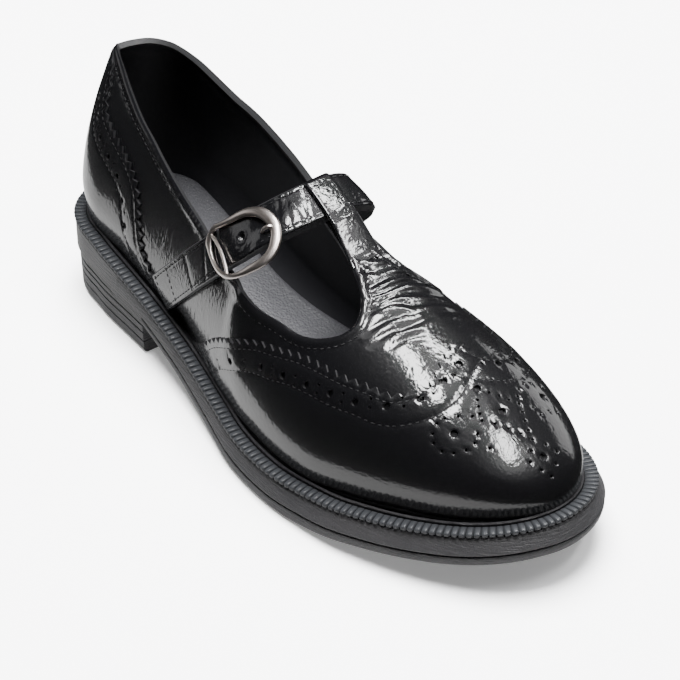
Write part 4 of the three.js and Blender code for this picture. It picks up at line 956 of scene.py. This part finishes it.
def strap_piece(name, start, stop, folds, holes=()):
    """A length of strap over the form; a fold is s, slant, depth and half width; a hole s and w."""
    steps = int((stop - start) / STRAP_STEP)
    s_row = np.linspace(start, stop, steps + 1)
    ends = np.clip(np.minimum(s_row - start, stop - s_row) / 0.7, 0, 1)
    wide = 1 - np.array([0, 0.02, 0.075, 0.14])
    w_top = np.concatenate([-wide, np.linspace(-0.78, 0.78, 27), wide[::-1]])
    drop = np.array([0.75, 0.3, 0.06, 0] + [0] * 27 + [0, 0.06, 0.3, 0.75])
    rings, charts = [], []
    for s, end in zip(s_row, ends):
        p, q = strap_place(np.full(len(w_top), s), w_top)
        sunk = drop + 0.35 * (1 - math.sqrt(1 - (1 - end) ** 2))
        for s0, slant, deep, half in folds:
            sunk = sunk + deep * bell(s - s0 - slant * w_top, half) * (1 - 0.4 * w_top ** 2)
        for row in (-STRAP_SEAM, STRAP_SEAM):
            sunk = sunk + STRAP_SEAM_DEEP * bell(w_top - row, 0.05)
        for s0, w0 in holes:
            away = np.hypot(s - s0, (w_top - w0) * STRAP_WIDE / 2)
            sunk = sunk + HOLE_DEEP / (1 + np.exp((away - HOLE_ROUND) / 0.12)) \
                - HOLE_DROP * bell(away - HOLE_ROUND - 0.8, 0.4)
        sunk = sunk - SWELL * np.exp(-((s - SWELL_AT) / 9) ** 4) * (1 - (w_top / 1.05) ** 2)
        top = upper_point(p, q, STRAP_HIGH) - chart_slopes(p, q)[2] * sunk[:, None]
        rings.append(np.concatenate([top, upper_point(p, q, STRAP_LOW)[::-1]]))
        both = np.stack([np.full(len(w_top), s), w_top * STRAP_WIDE / 2], 1)
        charts.append(np.concatenate([both, both[::-1]]))
    half, around = len(w_top), len(rings[0])
    faces = skinned(steps + 1, around, turned=True)
    which = [0 if 1 < k < half - 2 else 1 for k in range(around)] * steps
    caps = laddered_ends(steps + 1, around, turned=True)
    return piece_from(name, np.concatenate(rings), faces + caps, [strap_patent, edge_paint],
                      which + [1] * len(caps), np.concatenate(charts), 50)


# Crumpled patent: pulled through buckle and loop, so it glints in many small spots
strap_patent = patent_leather("crumpled_patent_leather", 0.6, (60, 42, 1))
strap = strap_piece("strap_leather", INNER_FOOT, TAIL_END, STRAP_FOLDS, PIN_HOLES)
tab = strap_piece("strap_tab_leather", TAB_TOP, TAB_FOOT, TAB_FOLDS)
for piece, node in ((strap, "cross_strap"), (tab, "strap_anchor")):
    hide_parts(node)
    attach(piece, "root")

# Loop: the T-bar's own end, of the same patent leather skived thin. It is laid over the strap
# and turned down behind it, so that the strap slides through.
LOOP_LINE = [
    # y, level of its face over the form, thickness
    (163, 0.05, 0.5), (160, 0.5, 0.9), (156.5, 1.5, 1.3), (152.5, 3.0, 1.5), (149, 4.1, 1.5),
    (145, 4.5, 1.5), (140, 4.6, 1.5), (135, 4.5, 1.5), (131.6, 4.1, 1.5), (129.9, 3.1, 1.5),
    (129.0, 1.6, 1.3)]
LOOP_EDGES = [(128, -14.0, -2.9), (140, -14.0, -2.7), (150, -14.0, -2.2), (156, -14.2, -1.3),
              (160, -14.6, -0.6), (164, -15.8, 0.6)]


def loop_piece():
    """The loop as rows across it, from its turned-down end to its foot on the bar."""
    line = np.array(LOOP_LINE)[::-1]
    stops = np.linspace(0, len(line) - 1, 70)
    rows = np.stack([np.interp(stops, np.arange(len(line)), line[:, k]) for k in range(3)], 1)
    for k in (1, 2):
        rows[1:-1, k] = (rows[:-2, k] + 2 * rows[1:-1, k] + rows[2:, k]) / 4
    shares = np.concatenate([[0, 0.02, 0.06], np.linspace(0.12, 0.88, 13), [0.94, 0.98, 1]])
    drop = np.array([0.5, 0.18, 0.04] + [0] * 13 + [0.04, 0.18, 0.5])
    rings, charts = [], []
    scan = np.linspace(-30, 30, 600)
    for y, level, thick in rows:
        left, right = (along(LOOP_EDGES, k, y) for k in (1, 2))
        x = left + (right - left) * shares
        p = y - UPPER_BACK - POLE
        q = np.interp(x, upper_point(p, scan, level)[:, 0], scan)
        rings.append(np.concatenate([
            upper_point(p, q, level - drop), upper_point(p, q, level - thick)[::-1]]))
        both = np.stack([np.full(len(x), p), q], 1)
        charts.append(np.concatenate([both, both[::-1]]))
    half, around = len(shares), len(rings[0])
    faces = [face[::-1] for face in skinned(len(rows), around, turned=True)]
    which = [0 if k < half - 1 else 1 for k in range(around)] * (len(rows) - 1)
    caps = laddered_ends(len(rows), around)
    return piece_from("tbar_loop_leather", np.concatenate(rings), faces + caps,
                      [strap_patent, edge_paint], which + [1] * len(caps),
                      np.concatenate(charts), 50)


loop = loop_piece()
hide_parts("t_bar_loop")
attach(loop, "root")

# Stitching: bonded polyester thread, black, pulled a little into the leather. Each stitch is a
# short rounded stick whose ends sink into the leather.
THREAD, STITCH, STITCH_PITCH, STITCH_SINK = 0.5, 1.9, 2.6, 0.22
STITCH_PROFILE = [(-1, 0.15), (-0.75, 0.8), (-0.3, 1), (0.3, 1), (0.75, 0.8), (1, 0.15)]
THREAD_BLACK = "#0d0d0e"

# Polyester thread: a dull sheen on twisted plies, which are drawn coarser than they are
thread, tree = finish_called("polyester_thread")
where = add(tree, "TexCoord", {})
ply = add(tree, "TexWave", {"Vector": where.outputs["Object"], "Scale": 1200.0, "Distortion": 2.0})
thread_bump = add(tree, "Bump", {"Strength": 0.5, "Distance": 0.0001, "Height": ply.outputs["Fac"]})
thread_face = add(tree, "BsdfPrincipled", {
    "Base Color": linear(THREAD_BLACK), "Roughness": 0.5, "Normal": thread_bump.outputs[0]})
add(tree, "OutputMaterial", {"Surface": thread_face.outputs[0]})


def rod_faces(rings, around):
    """Faces of a closed rod: between its rings, and flat at both ends."""
    last = (rings - 1) * around
    ends = [tuple(range(around - 1, -1, -1)), tuple(range(last, last + around))]
    return skinned(rings, around) + ends


def at_pitch(line):
    """Places at the stitch pitch along a line of the chart."""
    fine = curve(line, 0.4)
    reach = lengths(upper_point(fine[:, 0], fine[:, 1]))
    marks = np.linspace(0, reach[-1], max(2, int(round(reach[-1] / STITCH_PITCH)) + 1))
    return np.stack([np.interp(marks, reach, fine[:, k]) for k in (0, 1)], 1)


def sew(name, lines, level):
    """Stitches along lines of the chart, at a level over the leather."""
    points, faces = [], []
    turns = np.arange(6) * math.pi / 3
    stitch_faces = rod_faces(len(STITCH_PROFILE), len(turns))
    for line in lines:
        p, q = at_pitch(line).T
        spots = upper_point(p, q, level)
        out = chart_slopes(p, q)[2]
        run = np.gradient(spots, axis=0)
        run /= np.linalg.norm(run, axis=1)[:, None]
        for c, t, u, v in zip(spots, run, np.cross(out, run), out):
            faces += [tuple(len(points) + k for k in face) for face in stitch_faces]
            for reach, size in STITCH_PROFILE:
                for a in turns:
                    points.append(c + t * reach * STITCH / 2
                                  + (u * math.cos(a) + v * math.sin(a) * 0.8) * size * THREAD / 2
                                  - v * (abs(reach) ** 3) * STITCH_SINK)
    return piece_from(name, np.array(points), faces, [thread])


def strap_row(start, stop, w0, w1):
    """A line over the strap between two places along and across it."""
    return np.stack(strap_place(np.linspace(start, stop, 120), np.linspace(w0, w1, 120)), 1)


lip_seams = [beside(line[(line[:, 0] > -207) & (line[:, 0] < 0)][1:-1], -STITCH_FROM_EDGE)
             for line in (throat_outer, throat_inner)]
cap_rows = [beside(curve(edge, 1.0), -reach) for edge in (CAP_OUTER, CAP_INNER) for reach in SEAMS]
counter_rows = []
for side, lowest in ((1, 24), (-1, 41)):
    smooth = curve(on_side(COUNTER_EDGE[1:], side), 1.0)
    for reach in SEAMS:
        row = beside(smooth, side * -reach)
        counter_rows.append(row[np.abs(row[:, 1]) > lowest])
strap_rows = [strap_row(a, b, w, w) for w in (-STRAP_SEAM, STRAP_SEAM)
              for a, b in ((INNER_FOOT + 6, -3), (13, TAIL_END - 6), (TAB_TOP + 2, TAB_FOOT - 3))]
strap_rows += [strap_row(s, s, -STRAP_SEAM, STRAP_SEAM) for s in (TAB_FOOT - 13, TAB_FOOT - 3)]
for name, lines, level in (
        ("upper_stitches", lip_seams, 0.0),
        ("toe_cap_stitches", cap_rows, OVERLAY_HIGH - SEAM_DEEP),
        ("counter_stitches", counter_rows, OVERLAY_HIGH - SEAM_DEEP),
        ("strap_stitches", strap_rows, STRAP_HIGH + 0.02)):
    stitches = sew(name, lines, level)
    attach(stitches, "root")

# Buckle: a rounded D of zinc, cast, plated and brushed, broad on its front half and thin behind,
# with a rod across its rear edge and a flat pin through the strap. Warm silver.
BUCKLE_AT, BUCKLE_OUT = np.array([22.5, 128.0, 77.5]), np.array([.7104, -.07, .7004])
BUCKLE_UP, BUCKLE_SIDE = np.array([-.5572, .5519, .6204]), np.array([.43, .8309, -.3531])
FRAME_OUTER = [
    (-17.4, -9.5), (-12.0, -12.6), (-8.6, -12.0), (-5.5, -11.4), (-2.9, -11.2), (0.3, -11.1),
    (3.3, -10.9), (7.4, -9.8), (11.2, -7.8), (14.2, -3.8), (15.5, 0.3), (15.3, 4.2), (14.3, 7.9),
    (12.1, 11.6), (9.1, 14.4), (5.2, 15.7), (0.6, 15.7), (-2.4, 15.2), (-5.8, 14.1), (-9.1, 12.3),
    (-11.7, 10.3), (-13.9, 7.7), (-15.6, 4.9), (-16.9, 1.6), (-17.6, -2.2), (-17.9, -5.9)]
FRAME_INNER = [
    (-14.2, -8.7), (-12.1, -10.6), (-9.0, -10.0), (-6.0, -9.2), (-3.0, -8.5), (0.1, -8.0),
    (3.1, -7.4), (5.9, -6.2), (8.4, -4.3), (10.3, -1.9), (11.7, 0.8), (11.9, 3.8), (11.0, 6.8),
    (9.6, 9.5), (7.3, 11.4), (4.2, 12.2), (1.2, 12.5), (-1.9, 12.6), (-5.0, 12.1), (-7.8, 10.9),
    (-10.4, 8.9), (-12.5, 6.3), (-14.0, 3.7), (-15.1, 0.7), (-15.7, -2.4), (-15.5, -5.5)]
FRAME_THICK, ROD, FRAME_LIFT = 1.9, 1.5, 0.1
PIN_LINE = [
    # place up along the strap, lift over the buckle's face
    (7.4, -2.4), (8.2, -1.4), (9.0, -0.2), (9.9, 0.75), (10.8, 1.3), (12.0, 1.55), (13.2, 1.5)]
NICKEL = "#e2d8d2"

# Brushed nickel plate: warm pale grey, with fine scratches that draw its light out lengthwise
nickel, tree = finish_called("brushed_nickel_plate")
where = add(tree, "TexCoord", {})
brush = add(tree, "Mapping", {"Vector": where.outputs["Object"], "Scale": (900, 260, 3200)})
scratches = add(tree, "TexNoise", {"Vector": brush.outputs[0], "Scale": 1.0, "Detail": 3.0})
nickel_bump = add(tree, "Bump", {
    "Strength": 0.22, "Distance": 0.00008, "Height": scratches.outputs["Fac"]})
dull = add(tree, "MapRange", {"Value": scratches.outputs["Fac"], "To Min": 0.24, "To Max": 0.38})
nickel_face = add(tree, "BsdfPrincipled", {
    "Base Color": linear(NICKEL), "Metallic": 1.0, "Roughness": dull.outputs[0],
    "Normal": nickel_bump.outputs[0]})
add(tree, "OutputMaterial", {"Surface": nickel_face.outputs[0]})


def buckle_point(t, w, lift):
    """t up along the strap, w across it to the toe, lift over the buckle's curved middle face."""
    t, w, lift = np.broadcast_arrays(*(np.asarray(v, float) for v in (t, w, lift)))
    dome = 1.287 + .0435 * t - .0284 * w - .01365 * t * t - .001 * w * w - .00014 * t ** 3 \
        - .0003 * t * t * w - .0003 * t * w * w
    return BUCKLE_AT + t[..., None] * BUCKLE_UP + w[..., None] * BUCKLE_SIDE \
        + (dome + lift)[..., None] * BUCKLE_OUT


def closed_curve(points, count):
    """A smooth closed line through points, at so many even places."""
    points = np.asarray(points, float)
    wrapped = np.concatenate([points[-3:], points, points[:3]])
    spots = 3 + np.arange(count) * len(points) / count
    table = np.column_stack([np.arange(len(wrapped)), wrapped])
    return np.stack([along(table, k, spots) for k in (1, 2)], 1)


def buckle_frame():
    """The frame as rings round its rounded section, broad in front and thin behind."""
    turns = np.arange(16) * math.pi / 8
    c, s = np.cos(turns), np.sin(turns)
    rings = []
    for o, i in zip(closed_curve(FRAME_OUTER, 132), closed_curve(FRAME_INNER, 132)):
        flat = (o + i) / 2 + (o - i) / 2 * (np.sign(c) * np.abs(c) ** 0.85)[:, None]
        lift = FRAME_THICK / 2 * np.sign(s) * np.abs(s) ** 0.9 + FRAME_LIFT
        rings.append(buckle_point(flat[:, 0], flat[:, 1], lift))
    return piece_from("buckle_frame_metal", np.concatenate(rings),
                      skinned(len(rings), len(turns), closed=True), [nickel])


turns = np.arange(12) * math.pi / 6
rod_rings, pin_rings = [], []
for share in np.linspace(0, 1, 16):
    t, w = -14.2 + 4.2 * share ** 0.8 + 1.0 * math.sin(math.pi * share), -10.4 + 20.2 * share
    rod_rings.append(buckle_point(t + ROD / 2 * np.cos(turns), w,
                                  FRAME_LIFT + ROD / 2 * np.sin(turns)))
for t, lift in PIN_LINE:
    size = 0.85 if t < 12.5 else 0.6
    pin_rings.append(buckle_point(t - 0.35 * np.sin(turns), 1.7 + size * np.cos(turns),
                                  lift + 0.5 * np.sin(turns)))
frame_piece = buckle_frame()
rod, pin = (piece_from(name, np.concatenate(rings), rod_faces(len(rings), len(turns)), [nickel])
            for name, rings in (("buckle_rod_metal", rod_rings), ("buckle_pin_metal", pin_rings)))
for piece, node in ((frame_piece, "buckle_frame"), (rod, "buckle_bar"), (pin, "buckle_prong")):
    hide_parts(node)
    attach(piece, "root")

# Sock lining: the insole's cover, coated leather with a coarse pebble grain over thin foam,
# glued down; matt black that looks grey where the light falls in.
SOCK_THICK, SOCK_SPACE = 3.0, 2.6
SOCK_HEEL_STEP, SOCK_HEEL_RUN, SOCK_DISH = 4.5, 50, 0.9
SOCK_BLACK = "#29292b"

# Pebble grain leather: matt black that its many small domes speckle with grey light
sock, tree = finish_called("pebble_grain_leather")
chart = add(tree, "UVMap", {}, uv_map="chart")
pebbles = add(tree, "TexVoronoi", {"Vector": chart.outputs[0], "Scale": 105.0, "Randomness": 0.9},
              feature="SMOOTH_F1")
uneven = add(tree, "TexNoise", {"Vector": chart.outputs[0], "Scale": 60.0, "Detail": 3.0})
grain = add(tree, "Math", {0: uneven.outputs["Fac"], 1: 0.5, 2: pebbles.outputs["Distance"]},
            operation="MULTIPLY_ADD")
sock_bump = add(tree, "Bump", {"Strength": 0.9, "Distance": 0.00035, "Height": grain.outputs[0]})
sock_face = add(tree, "BsdfPrincipled", {
    "Base Color": linear(SOCK_BLACK), "Roughness": 0.48, "IOR": 1.5,
    "Normal": sock_bump.outputs[0]})
add(tree, "OutputMaterial", {"Surface": sock_face.outputs[0]})


def sock_piece():
    """The sock as rows across the last's bottom, a little inside the upper's wall."""
    stations = UPPER_LENGTH * (1 - np.cos(np.pi * (np.arange(110) + 0.5) / 110)) / 2
    points, chart = [], []
    shares = np.concatenate([[-1, -0.985], np.linspace(-0.94, 0.94, 35), [0.985, 1]])
    drop = np.array([SOCK_THICK, 0.6] + [0] * 35 + [0.6, SOCK_THICK])
    for nominal in stations:
        at = nominal / UPPER_LENGTH
        ends = rounding(UPPER_LENGTH - SOCK_SPACE - nominal, UPPER_TOE - SOCK_SPACE, TOE_POWER) \
            * rounding(nominal - SOCK_SPACE, HEEL_ROUND - SOCK_SPACE, HEEL_POWER)
        y = UPPER_BACK + nominal + SOCK_HEEL_STEP * np.clip(1 - nominal / SOCK_HEEL_RUN, 0, 1) ** 2
        x = UPPER_WIDTH * along(LAST_SECTIONS, 1, at) + shares * (
            UPPER_WIDTH * along(LAST_SECTIONS, 2, at) - SOCK_SPACE + 0.6) * max(ends, 0.004)
        z = welt_top(y) - CHANNEL + GAP + SOCK_THICK + SOCK_DISH * shares ** 4 - drop
        points.append(np.column_stack([x, np.full(len(x), y), z]))
        chart.append(np.column_stack([np.full(len(x), y), x]))
    return piece_from("sock_leather", np.concatenate(points),
                      rod_faces(len(stations), len(shares)), [sock], None, np.concatenate(chart))


insole = sock_piece()
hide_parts("insole")
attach(insole, "root")
